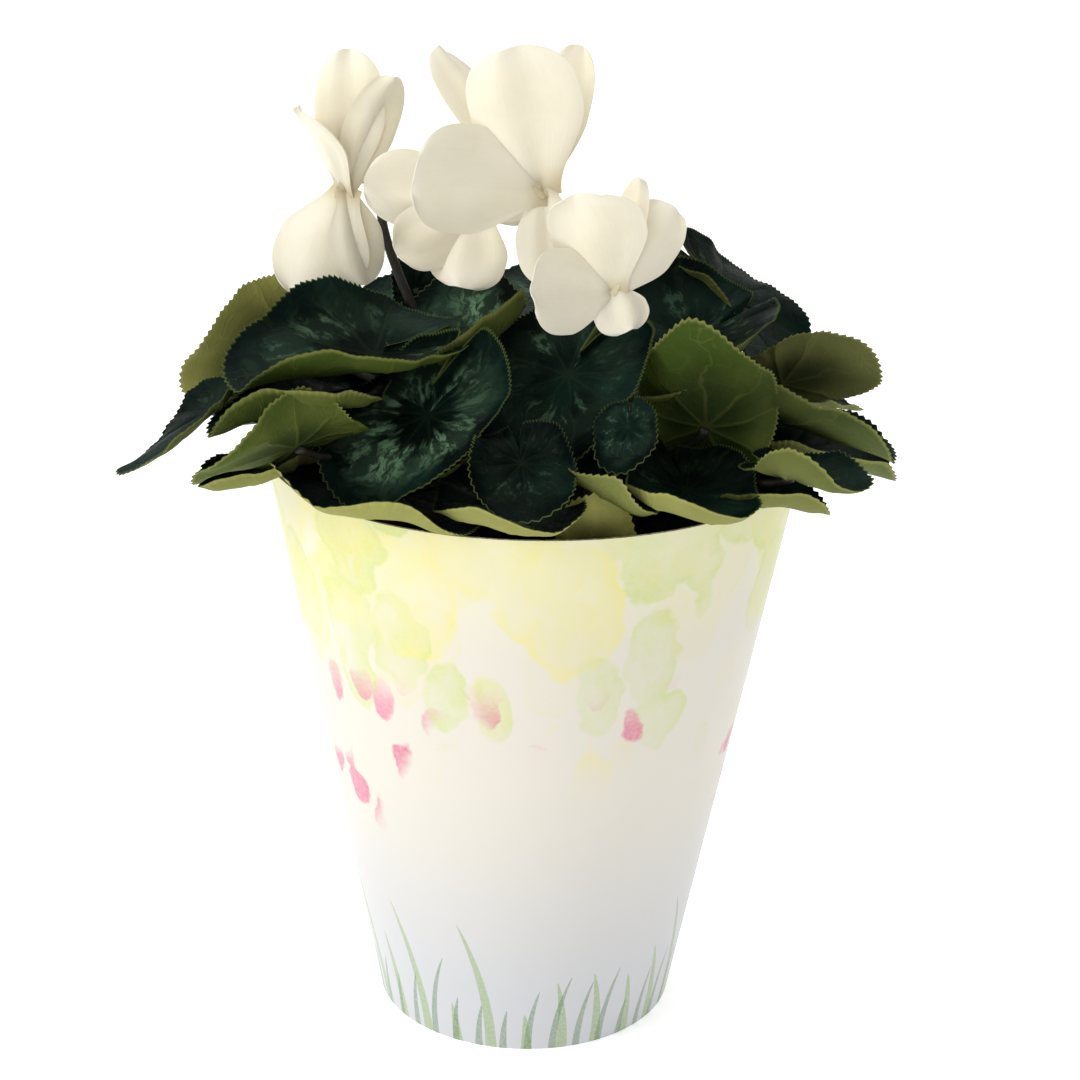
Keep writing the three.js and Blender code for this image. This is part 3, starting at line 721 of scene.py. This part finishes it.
def petal():
    """Ivory white, a little green by the throat, warmer and darker at the heart as painted shade where
    the petal bases cross, with faint lengthwise lines.
    """
    s = Shader("petal", 0.55, 0.35)
    u, v, _ = s.split(s.uv())
    share = s.value("share")
    lines = s.noise(s.vector(s.times(u, 26.0), s.times(v, 2.0)), 1.0, 3.0)
    cloud = s.noise(s.place(), 70.0, 3.0)
    body = s.mix(s.step(cloud, 0.3, 0.8, 0.0, 0.35), "petal", "petal_green")
    body = s.mix(s.step(lines, 0.45, 0.8, 0.0, 0.1), body, "petal_green")
    # Greener towards the base: partly the petal's own green by the throat, partly painted shade at the
    # heart.
    body = s.mix(s.step(share, 0.0, 0.3, 0.5, 0.0), body, "petal_green")
    # Painted shade: a warm brown darkening at the heart, where the petal bases cross.
    s.colour(s.mix(s.step(share, 0.02, 0.2, 0.8, 0.0), body, "petal_heart_shade"))
    s.surface.inputs["Subsurface Weight"].default_value = 0.25
    s.surface.inputs["Subsurface Radius"].default_value = (1.0, 0.9, 0.7)
    s.surface.inputs["Subsurface Scale"].default_value = 0.0015
    under = s.bump(lines, 0.0004, 0.18)
    s.bump(s.noise(s.place(), 1500.0, 2.0), 0.0001, 0.4, under)
    return s.material


def card_print():
    """Coated white card with a generic watercolour: round washes below the rim, small rose dabs
    and slim blades of grass rising from the foot."""
    s = Shader("printed card", 0.38, 0.5)
    turn, height, _ = s.split(s.uv())
    around = s.times(turn, 2 * math.pi * (COVER.top + COVER.foot) / 2)
    flat = s.vector(around, height)
    drift = s.vector_math("SUBTRACT", s.noise(flat, 0.09, 3.0, 0.5, "Color"), (0.5, 0.5, 0.5))
    wet = s.vector_math("ADD", flat, s.vector_math("MULTIPLY", drift, (9.0, 9.0, 9.0)))
    grain = s.noise(flat, 0.9, 5.0, 0.7)
    colour = s.mix(s.step(height, 10.0, 90.0), "card_cool", "card")
    colour = washes(s, colour, wet, height, grain)
    colour = rose_dabs(s, colour, wet, grain)
    s.colour(grass(s, colour, around, height, grain))
    under = s.bump(s.noise(flat, 0.05, 2.0), 0.0012, 0.25)
    s.bump(s.noise(flat, 3.0, 2.0), 0.00005, 0.4, under)
    return s.material


def washes(s, colour, wet, height, grain):
    """Pale rounded pools of paint that hang from the rim, each darker along its edge."""
    rim = COVER.height
    colour = s.mix(s.step(height, rim - 40, rim, 0.0, 0.45), colour, "wash_pale")
    spread = s.step(height, rim - WASH_DEPTH, rim - 6, 0.2, 0.62)
    fade = s.step(height, rim - WASH_DEPTH, rim - 50)
    drawn_out = s.vector_math("MULTIPLY", wet, (1.0, 0.55, 1.0))
    for scale, tint, amount in WASHES:
        shifted = s.vector_math("ADD", drawn_out, (scale * 900, scale * 300, 0))
        inside = s.minus(spread, s.cells(shifted, scale))
        body = s.step(inside, -0.02, 0.03)
        ring = s.step(inside, 0.02, 0.14, 0.95, 0.6)
        pooled = s.step(s.noise(shifted, 0.09, 3.0), 0.35, 0.65, 0.35, 1.0)
        wash = s.times(body, ring, s.step(grain, 0.2, 0.75, 0.55, 1.0), pooled, fade, amount)
        colour = s.mix(wash, colour, tint)
    return colour


def rose_dabs(s, colour, wet, grain):
    """Loose oval dabs of pink in groups at mid height, thinned by a coarse noise."""
    around, height, _ = s.split(wet)
    place = s.vector(around, s.times(height, 0.6))
    pick = s.make("ShaderNodeSeparateColor", {0: s.cells(place, 0.1, output="Color")})
    patch = s.noise(s.vector(s.plus(around, 37.0), height), 0.022, 1.0)
    group = s.step(patch, 0.54, 0.6)
    band = s.times(s.step(height, *DABS.low), s.step(height, *DABS.high, 1.0, 0.0))
    spot = s.step(s.cells(place, 0.1), 0.33, 0.4, 1.0, 0.0)
    mask = s.times(spot, group, band, s.step(grain, 0.2, 0.8, 0.5, 1.0))
    return s.mix(mask, colour, s.mix(pick, "dab_pink", "dab_rose"))


def grass(s, colour, around, height, grain):
    """Slim curved blades from the foot, two rows of different pitch."""
    for pitch, tall, lean, tint in GRASS:
        swept = s.plus(s.plus(around, s.times(height, height, lean)), pitch * 0.37)
        place = s.math("DIVIDE", swept, pitch)
        cell = s.math("FLOOR", place)
        chance = s.make("ShaderNodeTexWhiteNoise", {"W": cell}, "Value", noise_dimensions="1D")
        within = s.minus(s.math("FRACT", place), 0.5)
        reach = s.times(s.plus(chance, 0.35), tall)
        left = s.math("SUBTRACT", 1.0, s.math("DIVIDE", height, reach), clamp=True)
        width = s.times(s.math("POWER", left, 0.6), 0.16)
        mask = s.math("LESS_THAN", s.math("ABSOLUTE", within), width)
        mask = s.times(mask, s.step(grain, 0.2, 0.8, 0.35, 0.8))
        colour = s.mix(mask, colour, tint)
    return colour


def plain(name, dark, light, scale, roughness, relief):
    """A mottled matt surface between two palette colours, with relief in metres."""
    s = Shader(name, roughness, 0.3)
    cloud = s.noise(s.place(), scale, 5.0, 0.65)
    s.colour(s.mix(s.step(cloud, 0.3, 0.7), dark, light))
    s.bump(s.noise(s.place(), scale * 3, 3.0), relief, 0.6)
    return s.material


# ---- leaves


def leaf_reach(leaf, angle):
    """The blade's edge, as its distance from the stalk at an angle from the tip."""
    phase = leaf["phase"]
    tipward = (1 + np.cos(angle)) / 2
    from_notch = (math.pi - np.abs(angle)) / (LEAF.notch_width * BLADE_MESH.notch_share)
    notch = 1 - LEAF.notch_depth * np.exp(-(from_notch**2))
    lobes = 1 + BLADE_MESH.lobes * (np.cos(7 * angle + phase) + 0.7 * np.cos(4 * angle + 2 * phase))
    body = LEAF.lobe_spread + LEAF.tip_share * tipward**3 + BLADE_MESH.point * tipward**14
    return leaf["length"] * body * notch * lobes


def leaf_from_row(index, row):
    leaf = dict(zip(LEAF_KEYS, row))
    leaf["at"] = np.array([leaf["x"], leaf["y"], leaf["z"]], float)
    leaf["length"] *= BLADE_MESH.fullness * FULLER.get(leaf["name"], 1)
    leaf["swell"] = BLADE_MESH.swell * WAVIER.get(leaf["name"], 1)
    leaf["phase"] = index * LEAF.phase_step
    return leaf


def leaf_axes(leaf):
    forward = direction(leaf["azimuth"], leaf["elevation"])
    level = direction(leaf["azimuth"] + 90, 0)
    roll = math.radians(leaf["roll"])
    left = level * math.cos(roll) + np.cross(forward, level) * math.sin(roll)
    return forward, left, np.cross(forward, left)


def lip_share(leaf, angle):
    """1 where the blade's rim turns most, 0 away from there."""
    turned = np.degrees(angle) + leaf["azimuth"] - leaf["lip_to"]
    aside = np.abs((turned + 180) % 360 - 180) / BLADE_MESH.lip_spread
    return 1 - smoothstep(aside, 0.35, 1)


def blade_relief(leaf, x, y, share):
    """How far the blade stands off its plainly bent sheet: waves, sunk veins, puckers, a ruffled
    margin, and the turned rim."""
    length, phase = leaf["length"], leaf["phase"]
    radius = np.hypot(x, y)
    angle = np.arctan2(y, x)
    rise = LEAF.wave * length * (radius / length) ** 3 * np.cos(LEAF.waves * angle + phase)
    rise += leaf["swell"] * length * smoothstep(share, 0.3, 1) ** 2 * np.cos(3 * angle + 1.7 * phase)
    veined = smoothstep(radius / length, 0.06, 0.3) * (1 - smoothstep(share, 0.8, 1))
    offset = radius * np.abs(np.sin(VEIN_COUNT / 2 * angle)) * 2 / VEIN_COUNT
    rise -= BLADE_MESH.vein_sink * veined * np.exp(-((offset / 0.7) ** 2))
    rise += BLADE_MESH.pucker * veined * (1 - np.cos(VEIN_COUNT * angle)) / 2
    ruffle = np.cos(13 * angle + 3 * phase) + 0.6 * np.cos(21 * angle + 5 * phase)
    rise += BLADE_MESH.ruffle * length * smoothstep(share, 0.6, 1) * ruffle
    rise += BLADE_MESH.rim_curl * smoothstep(share, 0.86, 1) * np.sin(3 * angle + 2 * phase)
    bent_up = np.clip((share - BLADE_MESH.lip_from) / (1 - BLADE_MESH.lip_from), 0, 1)
    return rise + leaf["lip"] * bent_up ** BLADE_MESH.lip_steepness * lip_share(leaf, angle)


def blade(shape, leaf):
    """Both faces of the blade, closed by a fine toothed edge."""
    length = leaf["length"]
    teeth = round(2 * math.pi * BLADE_MESH.girth * length / BLADE_MESH.tooth_pitch)
    per_tooth = BLADE_MESH.points_per_tooth
    count = teeth * per_tooth
    s = 2 * np.arange(count) / count - 1
    angle = math.pi * s + LEAF.towards_notch * np.sin(math.pi * s)
    reach = leaf_reach(leaf, angle)
    tooth = np.arange(count) % per_tooth / (per_tooth - 1) - 0.5
    shares = np.array(BLADE_MESH.rings)[:, None]
    radius = reach * shares + BLADE_MESH.tooth_height * tooth * smoothstep(shares, 0.94, 1)
    further = BLADE_MESH.lip_reach * abs(leaf["lip"]) * lip_share(leaf, angle)
    radius += further * smoothstep(shares, 0.4, 1)
    x = np.append(0, radius * np.cos(angle))
    y = np.append(0, radius * np.sin(angle) * leaf["broad"])
    share = np.append(0, np.broadcast_to(shares, radius.shape))
    curve_x = math.radians(leaf["tip"]) / length
    curve_y = math.radians(leaf["sides"]) / (LEAF.half_width * length)
    flat = bent(x, y, curve_x, curve_y)
    flat[:, 2] += blade_relief(leaf, x, y, share)
    forward, left, normal = leaf_axes(leaf)
    points = leaf["at"] + flat @ np.array([forward, left, normal])
    quads = grid_quads(len(shares), count, closed=True)[:, ::-1] + 1
    fan = [(0, 1 + c, 1 + (c + 1) % count) for c in range(count)]
    normals = quad_normals(points, quads)
    normals[0] = unit(normals[1 : count + 1].mean(0))
    edge = smoothstep(share, 0.7, 1)[:, None]
    half = (BLADE_MESH.thickness * (1 - edge) + BLADE_MESH.edge_thickness * edge) / 2
    uv = np.stack([x, y], axis=-1) / length
    above, below = two_faces(shape, points, normals * half, [*quads, *fan], uv, share, 1)
    both = np.concatenate([above[-count:], below[-count:]])
    band = [(c, count + c, count + (c + 1) % count, (c + 1) % count) for c in range(count)]
    shape.add(both, band, np.concatenate([uv[-count:], uv[-count:]]), 0, np.ones(2 * count))


def stem_azimuth(stem):
    return math.atan2(stem["at"][1], stem["at"][0])


def plant_feet(stems, floor):
    """Each stem's foot in the dish of the tuber's crown, ringed as in the part."""
    inward = sorted(stems, key=lambda stem: math.hypot(*stem["at"][:2]) / (stem["at"][2] - floor))
    for radius, places in CROWN_RINGS:
        ring = sorted(inward[:places], key=stem_azimuth)
        inward = inward[places:]
        if not ring:
            continue
        angles = [stem_azimuth(stem) for stem in ring]
        least = min(CROWN_SPACING / radius, 2 * math.pi / len(ring))
        for _ in range(SPREADING_ROUNDS):
            for i in range(len(ring)):
                after = (i + 1) % len(ring)
                turn = 2 * math.pi if after == 0 else 0
                short = least - (angles[after] + turn - angles[i])
                if short > 0:
                    angles[i] -= short / 2
                    angles[after] += short / 2
        for stem, angle in zip(ring, angles):
            stem["foot"] = np.array([radius * math.cos(angle), radius * math.sin(angle), floor])


def petiole(shape, leaf):
    forward, _, normal = leaf_axes(leaf)
    rise = leaf["at"] - leaf["foot"]
    span = np.linalg.norm(rise)
    arrive = unit(rise / span + PETIOLE.forward * forward + PETIOLE.normal * normal)
    end = leaf["at"] - normal * BLADE_MESH.thickness
    leave = leaf["foot"] + UP * span * PETIOLE.upright
    mesh = TUBE_MESH["petiole"]
    path = bezier(leaf["foot"], leave, end - arrive * span * PETIOLE.ending, end, mesh["steps"])
    t = np.linspace(0, 1, len(path))
    radii = PETIOLE.radius * (1.12 - 0.28 * t + 0.25 * smoothstep(t, 0.92, 1))
    tube(shape, path, radii, mesh["sides"], 2)


# ---- blooms


def petal_width(along):
    opening = smoothstep(along, 0, PETAL.open_by)
    widest_at = PETAL_MESH.widest_at
    closing = np.maximum(0, (along - widest_at) / (PETAL_MESH.ends_at - widest_at))
    share = PETAL.base_share
    tip = np.sqrt(np.maximum(1 - closing ** PETAL_MESH.blunt, 0.0))
    return (share + (1 - share) * opening) * tip


def petal_points(heart, row, phase, u, v):
    """Points of a petal's middle sheet at u across (-1 to 1) and v along (0 to 1)."""
    azimuth, elevation, length, width, twist, curl, face_azimuth = row
    forward = direction(azimuth, elevation)
    face = direction(face_azimuth, PETAL.face)
    normal = unit(face - forward * (face @ forward))
    side = np.cross(normal, forward)
    rounded = v * (1 - PETAL_MESH.tip_round * u * u * v * v)
    along = PETAL_MESH.start + (length - PETAL_MESH.start) * rounded
    across = u * width * petal_width(v) / 2
    sheet = bent(along, across, math.radians(-curl) / length, math.radians(PETAL.cup) / (width / 2))
    middle = np.sin(math.pi * v) ** 2
    broad, narrow = PETAL_MESH.ruffle
    lift = sheet[..., 2] + PETAL_MESH.fold * np.cos(1.7 * math.pi * u + phase) * middle
    lift += PETAL_MESH.ridge * np.exp(-((u * 3) ** 2)) * (1 - v) ** 2
    lift += broad * np.cos(3.4 * u + 2 * phase) * v**3 + narrow * np.cos(6.5 * u + phase) * v**6
    lift -= PETAL_MESH.hem * smoothstep(np.abs(u), 0.6, 1.0) * middle * math.cos(phase)
    turn = math.radians(twist) * v
    y = sheet[..., 1] * np.cos(turn) - lift * np.sin(turn)
    z = sheet[..., 1] * np.sin(turn) + lift * np.cos(turn)
    frame_axes = np.array([forward, side, -normal])
    return heart + np.stack([sheet[..., 0], y, z], axis=-1) @ frame_axes


def petal_sheet(shape, heart, row, phase):
    rows, columns = PETAL_MESH.along + 1, PETAL_MESH.across + 1
    v, u = np.meshgrid(np.linspace(0, 1, rows) ** 0.9, np.linspace(-1, 1, columns), indexing="ij")
    points = petal_points(heart, row, phase, u, v).reshape(-1, 3)
    quads = grid_quads(rows, columns)
    normals = quad_normals(points, quads)
    half = PETAL_MESH.thickness / 2 * (1 - 0.5 * smoothstep(v.ravel(), 0.8, 1))[:, None]
    uv = np.stack([u.ravel() / 2 + 0.5 + phase, v.ravel()], axis=-1)
    share = v.ravel()
    both = np.concatenate(two_faces(shape, points, normals * half, quads, uv, share, 0))
    shape.add(both, edge_band(rows, columns), np.concatenate([uv, uv]), 0, np.append(share, share))


def about(axis_from, axis_to):
    """The rotation that turns one direction into another, as a 3 by 3 array."""
    return np.array(Vector(axis_from).rotation_difference(Vector(axis_to)).to_matrix())


def throat(shape, bloom, upward):
    """The small fluted knot behind the crossing bases of the petals."""
    knot = Shape()
    r = THROAT.radius * KNOT.share
    outline = [(0, -0.75), (0.5, -1), (0.78, -0.9), (0.95, -0.45)]
    outline += [(1, 0), (0.9, 0.45), (0.6, 0.85), (0, 1)]
    profile = [(r * x, r * z) for x, z in outline]
    revolve(knot, profile, ROUND_SIDES, 0, lambda a, z: KNOT.flute * math.cos(KNOT.flutes * a))
    at = bloom["at"] + upward * (THROAT.back + KNOT.back)
    # With a share of 0, the knot takes the painted shade of the heart from the petal material.
    add_placed(shape, knot, about(UP, upward), at, (0.5, 0.02))


def stalk(shape, foot, end, upward, side, taper):
    """A stalk that rises beside its bloom and hooks over into it, as in the part."""
    out = direction(side, 0)
    top = end + upward * STALK.rise
    shoulder = end + out * STALK.reach + UP * STALK.rise * STALK.shoulder
    beside = shoulder + out - UP * STALK.drop
    low = foot * (1 - STALK.low) + beside * STALK.low + UP * STALK.drop / 2
    mesh = TUBE_MESH["stalk"]
    path = through([foot, low, beside, shoulder, top, end], mesh["steps"])
    tube(shape, path, STALK.radius * np.linspace(*taper, len(path)), mesh["sides"])


def calyx(shape, seat, upward):
    """A cup of five pointed sepals, pressed to the back of the bloom."""
    rows, sides = SEPAL.rows, SEPAL.sides
    turns = 2 * math.pi * np.arange(sides) / sides
    t, turn = np.meshgrid(np.linspace(0, 1, rows), turns, indexing="ij")
    sepal = np.maximum(0, np.cos(CALYX.sepals * turn)) ** 1.5
    reach = STALK.radius + (CALYX.radius - STALK.radius) * np.sin(t * math.pi / 2)
    reach += CALYX.reach * sepal * t**2
    drop = CALYX.length * (1 - t) - SEPAL.droop * sepal * t**3
    points = np.stack([reach * np.cos(turn), reach * np.sin(turn), drop], axis=-1).reshape(-1, 3)
    quads = grid_quads(rows, sides, closed=True)
    inner = points - quad_normals(points, quads[:, ::-1]) * SEPAL.thickness
    outer, inner = ((p @ about(UP, upward).T + seat).reshape(rows, sides, 3) for p in (points, inner))
    along = [4 * k / rows for k in range(rows)]
    loft(shape, [*inner, *outer[::-1], inner[0]], [*along, *along[::-1], 0], 1)


def bud_body(shape, bud):
    """A pointed hanging bud, its folded petals wound round it in flutes."""
    outline = [(0, -1), (0.18, -0.96), (0.36, -0.86), (0.6, -0.7), (0.85, -0.5), (1, -0.33)]
    outline += [(0.97, -0.2), (0.8, -0.09), (0.45, -0.02), (0, 0)]
    profile = [(r * bud["radius"], z * bud["length"]) for r, z in outline]
    body = Shape()

    def flute(a, z):
        wave = math.cos(BUD_FLUTES.count * a + BUD_FLUTES.winding * z)
        return BUD_FLUTES.height * wave * min(1, -z / BUD_FLUTES.from_top)

    revolve(body, profile, ROUND_SIDES, 0, flute)
    add_placed(shape, body, np.eye(3), bud["at"], (0.2, 0.4), 1)


# ---- cover, soil, tuber


def cover_radius(z):
    """The card's outer radius at a height on a true cone."""
    return COVER.foot + (COVER.top - COVER.foot) * z / COVER.height


def out_of_round(a, z):
    """How far the card stands off the true cone, most at its free rim."""
    return (z / COVER.height) ** 2 * (0.3 * np.sin(2 * a + 0.6) + 0.15 * np.sin(5 * a))


def cover_wall():
    """The card cone with its cut rim, and the glued overlap up the back."""
    shape = Shape()
    card, height = COVER.card, COVER.height
    rows, sides = COVER_MESH.rows, COVER_MESH.sides
    heights = [height * k / rows for k in range(rows + 1)]
    outer = [(cover_radius(z), z) for z in heights]
    inner = [(r - card, z) for r, z in outer]
    crest, inset = height + COVER_MESH.rim_rise, card * COVER_MESH.rim_round
    rounded = [(outer[-1][0] - inset, crest), (inner[-1][0] + inset, crest)]
    revolve(shape, outer, sides, 0, out_of_round)
    # The inner face is darkened as painted shade within the cover.
    revolve(shape, inner[::-1], sides, 2, out_of_round)
    revolve(shape, [outer[-1], *rounded, inner[-1]], sides, 1, out_of_round)
    revolve(shape, [inner[0], outer[0]], sides, 1, out_of_round)
    seam(shape)
    return shape


def seam(shape):
    """The overlap: a strip that stands proud of the wall, its long cut edge showing."""
    inset, rows, columns = SEAM_MESH.inset, SEAM_MESH.rows + 1, SEAM_MESH.columns
    turns = math.pi / 2 + COVER.seam / COVER.top * np.linspace(-0.5, 0.5, columns)
    z, a = np.meshgrid(np.linspace(inset, COVER.height - inset, rows), turns, indexing="ij")
    uv = np.stack([a / (2 * math.pi) + SEAM_MESH.print_shift, z], axis=-1).reshape(-1, 2)
    points = []
    for lift in (SEAM_MESH.proud, -SEAM_MESH.sunk):
        r = cover_radius(z) + lift + out_of_round(a, z)
        points.extend(np.stack([r * np.cos(a), r * np.sin(a), z], axis=-1).reshape(-1, 3))
    quads = grid_quads(rows, columns)
    shape.add(points[: rows * columns], quads, uv, 0)
    back = quads[:, ::-1] + rows * columns
    shape.add(points, [*edge_band(rows, columns), *back], np.concatenate([uv, uv]), 1)


def roughen(made, height, size):
    """Makes a piece's surface stand off by up to about height in lumps of about size."""
    texture = bpy.data.textures.new(made.name, "CLOUDS")
    texture.noise_scale = size * MM
    texture.noise_depth = 3
    swell = made.modifiers.new("swell", "DISPLACE")
    swell.texture = texture
    swell.strength = height * MM
    swell.mid_level = 0.6


def dense(points, step):
    """A profile with extra points, so that its stretches are about step long, or shorter."""
    out = [points[0]]
    for (r0, z0), (r1, z1) in zip(points, points[1:]):
        parts = max(1, round(math.hypot(r1 - r0, z1 - z0) / step))
        out += [(r0 + (r1 - r0) * k / parts, z0 + (z1 - z0) * k / parts) for k in range(1, parts + 1)]
    return out


def grit(shape, inner, radius, top):
    """Small chips of bark and pale grit lying on the soil, half sunk in it. top(r) is its height."""
    draw = np.random.default_rng(CHIPS.seed)
    corners = np.array([(1, 0, 0), (-1, 0, 0), (0, 1, 0), (0, -1, 0), (0, 0, 1), (0, 0, -1)], float)
    sides = [(0, 2, 4), (2, 1, 4), (1, 3, 4), (3, 0, 4), (2, 0, 5), (1, 2, 5), (3, 1, 5), (0, 3, 5)]
    for k in range(CHIPS.count):
        reach = math.sqrt(draw.uniform(inner**2, radius**2))
        turn = draw.uniform(0, 2 * math.pi)
        pale = k % CHIPS.grit_every == 0
        size = draw.uniform(*(CHIPS.grit if pale else CHIPS.bark))
        stretch = np.array((1, 1, 1) if pale else (1.5, 0.6, 0.4))
        spin = draw.uniform(0, 2 * math.pi)
        chip = corners * size * stretch * draw.uniform(0.7, 1.2, (6, 1))
        c, s = math.cos(spin), math.sin(spin)
        chip = chip @ np.array([[c, s, 0], [-s, c, 0], [0, 0, 1]])
        place = (reach * math.cos(turn), reach * math.sin(turn), top(reach))
        shape.add(chip + place, sides, np.zeros((6, 2)), int(pale))


# ---- making the plant


def dress(node, slot, shape, skins, **values):
    """Makes the fine piece that stands in for a node of the part."""
    made = shape.build(node + "_fine", skins, **values)
    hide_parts(node)
    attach(made, BODY)
    return made


def make_leaf(leaf, skins):
    shape = Shape()
    blade(shape, leaf)
    petiole(shape, leaf)
    values = {key: leaf[key] for key in ("silver", "pale", "yellow")}
    dress("leaf_" + leaf["name"], "leaf", shape, skins, **values)


def make_bloom(number, bloom):
    upward = -direction(*bloom["mouth"])
    shape = Shape()
    step, start = PETAL_MESH.phase_steps
    for k, row in enumerate(bloom["petals"]):
        petal_sheet(shape, bloom["at"], row, step * k + start * number)
    throat(shape, bloom, upward)
    dress(bloom["name"] + "_petals", "petal", shape, [petal_skin])
    shape = Shape()
    seat = bloom["at"] + upward * (THROAT.back + THROAT.radius + GAP)
    end = seat + upward * (CALYX.length - STALK.into)
    stalk(shape, bloom["foot"], end, upward, bloom["side"], STALK_TAPER["bloom"])
    calyx(shape, seat, upward)
    dress(bloom["name"] + "_stalk", "stalk", shape, [stalk_skin, calyx_skin])


def make_bud(bud):
    shape = Shape()
    stalk(shape, bud["foot"], bud["at"] - UP, UP, bud["side"], STALK_TAPER["bud"])
    bud_body(shape, bud)
    dress("bud", "bud", shape, [stalk_skin, bud_skin])


def make_soil(tuber_radius):
    """The soil, a little higher at the middle, its crumbs, and a well where the tuber stands."""
    low, high = (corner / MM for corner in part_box("soil"))
    radius = high.x

    def top(r):
        return high.z - SOIL.fall * (r / radius) ** 2

    edge, first = (radius - inset for inset in SOIL.edge)
    profile = dense([(0, low.z), (SOIL.foot, low.z), (edge, top(radius))], SOIL.step)
    mouth, well = tuber_radius - TUBER.dish, high.z - SOIL.well
    profile += [(r, top(r) - SOIL.sunk) for r in np.linspace(first, mouth, SOIL.rings)]
    profile += [(mouth, well), (0, well)]
    shape = Shape()
    revolve(shape, profile, SOIL.sides)
    roughen(dress("soil", "potting_soil", shape, [soil_skin]), *SOIL.lumps)
    chips = Shape()
    grit(chips, tuber_radius + CHIPS.from_tuber, radius - CHIPS.from_pot, top)
    made = chips.build("soil_chips", [soil_skin, grit_skin])
    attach(made, BODY)


def make_tuber(low, high):
    """A flattened round tuber with a dish in its crown, from whose floor the stems rise."""
    radius, middle = high.x, (low.z + high.z) / 2
    dish, floor = radius - TUBER.dish, high.z - TUBER.dish_depth
    share, below = TUBER.foot
    outline = [(0, low.z), (radius * share, middle - below), (radius, middle)]
    outline += [(radius - inset, high.z) for inset in TUBER.crown]
    outline += [(dish, floor), (0, floor)]
    shape = Shape()
    revolve(shape, dense(outline, TUBER.step), TUBER.sides)
    roughen(dress("tuber", "tuber", shape, [tuber_skin]), *TUBER.lumps)


leaf_skins = [leaf_upper(), leaf_under(), stem("petiole", "petiole", "stalk_green", 9.0)]
stalk_skin = stem("stalk", "stalk", "stalk_green", 8.0)
calyx_skin = stem("calyx", "calyx", "stalk", 10.0)
bud_skin = stem("bud", "bud", "petal_green", 12.0)
petal_skin = petal()
print_skin = card_print()
edge_skin = plain("card edge", "card_edge", "card_inside_shade", 900.0, 0.8, 0.0001)
# Painted shade: the card's inside is drawn dark for the shade within the cover.
shaded_inside_skin = plain("card inside painted shade", "card_inside_shade", "card_edge", 500.0, 0.85, 0.0001)
plastic_skin = plain("nursery plastic", "plastic", "soil_mid", 140.0, 0.5, 0.00008)
soil_skin = plain("potting soil", "soil_dark", "soil_mid", 420.0, 0.95, 0.0006)
grit_skin = plain("pale grit", "soil_grit", "card_inside_shade", 800.0, 0.9, 0.0002)
tuber_skin = plain("tuber", "tuber_dark", "tuber_mid", 260.0, 0.9, 0.0006)

tuber_low, tuber_high = (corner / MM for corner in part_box("tuber"))
leaves = [leaf_from_row(i, row) for i, row in enumerate(LEAVES)]
blooms = [dict(given, name=name, at=np.array(given["heart"], float)) for name, given in BLOOMS.items()]
bud = dict(BUD, at=np.array(BUD["tip"], float))
plant_feet([*leaves, *blooms, bud], tuber_high.z - STEM_FOOT_BELOW_CROWN)

for leaf in leaves:
    make_leaf(leaf, leaf_skins)
for number, bloom in enumerate(blooms):
    make_bloom(number, bloom)
make_bud(bud)
dress("cover_wall", "printed_card", cover_wall(), [print_skin, edge_skin, shaded_inside_skin])
make_soil(tuber_high.x)
make_tuber(tuber_low, tuber_high)

# The nursery pot and the cover's base keep the part's own solids.
# The cover's base takes the card's inside colour, darkened as painted shade.
for name, skin in (("grow_pot", plastic_skin), ("cover_base", shaded_inside_skin)):
    for material_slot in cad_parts[name].material_slots:
        material_slot.material = skin

# ---- floor, light and camera


def stage_floor():
    """A wide pale floor that turns up into a backdrop behind, a little bright of itself."""
    shape = Shape()
    back, bend, steps = STAGE.back, STAGE.bend, STAGE.steps
    section = [(STAGE.front, 0)]
    for k in range(steps + 1):
        a = math.pi / 2 * k / steps
        section.append((back + bend * math.sin(a), bend * (1 - math.cos(a))))
    section.append((back + bend, STAGE.tall))
    points = [(x, y, z) for y, z in section for x in (-STAGE.half, STAGE.half)]
    shape.add(points, grid_quads(len(section), 2), np.zeros((len(points), 2)))
    skin = plain("floor", "floor", "floor", 6.0, 0.9, 0.0001)
    surface = skin.node_tree.nodes["Principled BSDF"]
    surface.inputs["Emission Color"].default_value = (1, 1, 1, 1)
    surface.inputs["Emission Strength"].default_value = STAGE.glow
    return shape.build("floor", [skin])


def area_light(name, place, target, size, power):
    data = bpy.data.lights.new(name, "AREA")
    data.shape = "DISK"
    data.size = size
    data.energy = power
    made = add_object(name, data)
    made.location = place
    made.rotation_euler = (Vector(target) - Vector(place)).to_track_quat("-Z", "Y").to_euler()


def photo_camera():
    data = bpy.data.cameras.new("camera")
    data.sensor_width = CAMERA.sensor
    data.lens = CAMERA.focal_px / CAMERA.frame_px * CAMERA.sensor
    roll = math.radians(CAMERA.roll)
    ahead = direction(90 - CAMERA.yaw, -CAMERA.pitch)
    level = direction(-CAMERA.yaw, 0)
    rise = np.cross(level, ahead)
    right = math.cos(roll) * level + math.sin(roll) * rise
    up = math.cos(roll) * rise - math.sin(roll) * level
    turn = Matrix(np.array([right, up, -ahead]).T.tolist()).to_4x4()
    made = add_object("camera", data)
    made.matrix_world = Matrix.Translation(Vector(CAMERA.position) * MM) @ turn
    bpy.context.scene.camera = made


stage_floor()
for light, settings in LIGHTS.items():
    area_light(light, *settings)
world = bpy.data.worlds.new("studio")
world.use_nodes = True
background = world.node_tree.nodes["Background"]
background.inputs["Color"].default_value = (1, 1, 1, 1)
background.inputs["Strength"].default_value = WORLD_STRENGTH
bpy.context.scene.world = world
photo_camera()
bpy.context.scene.view_settings.view_transform = "Standard"
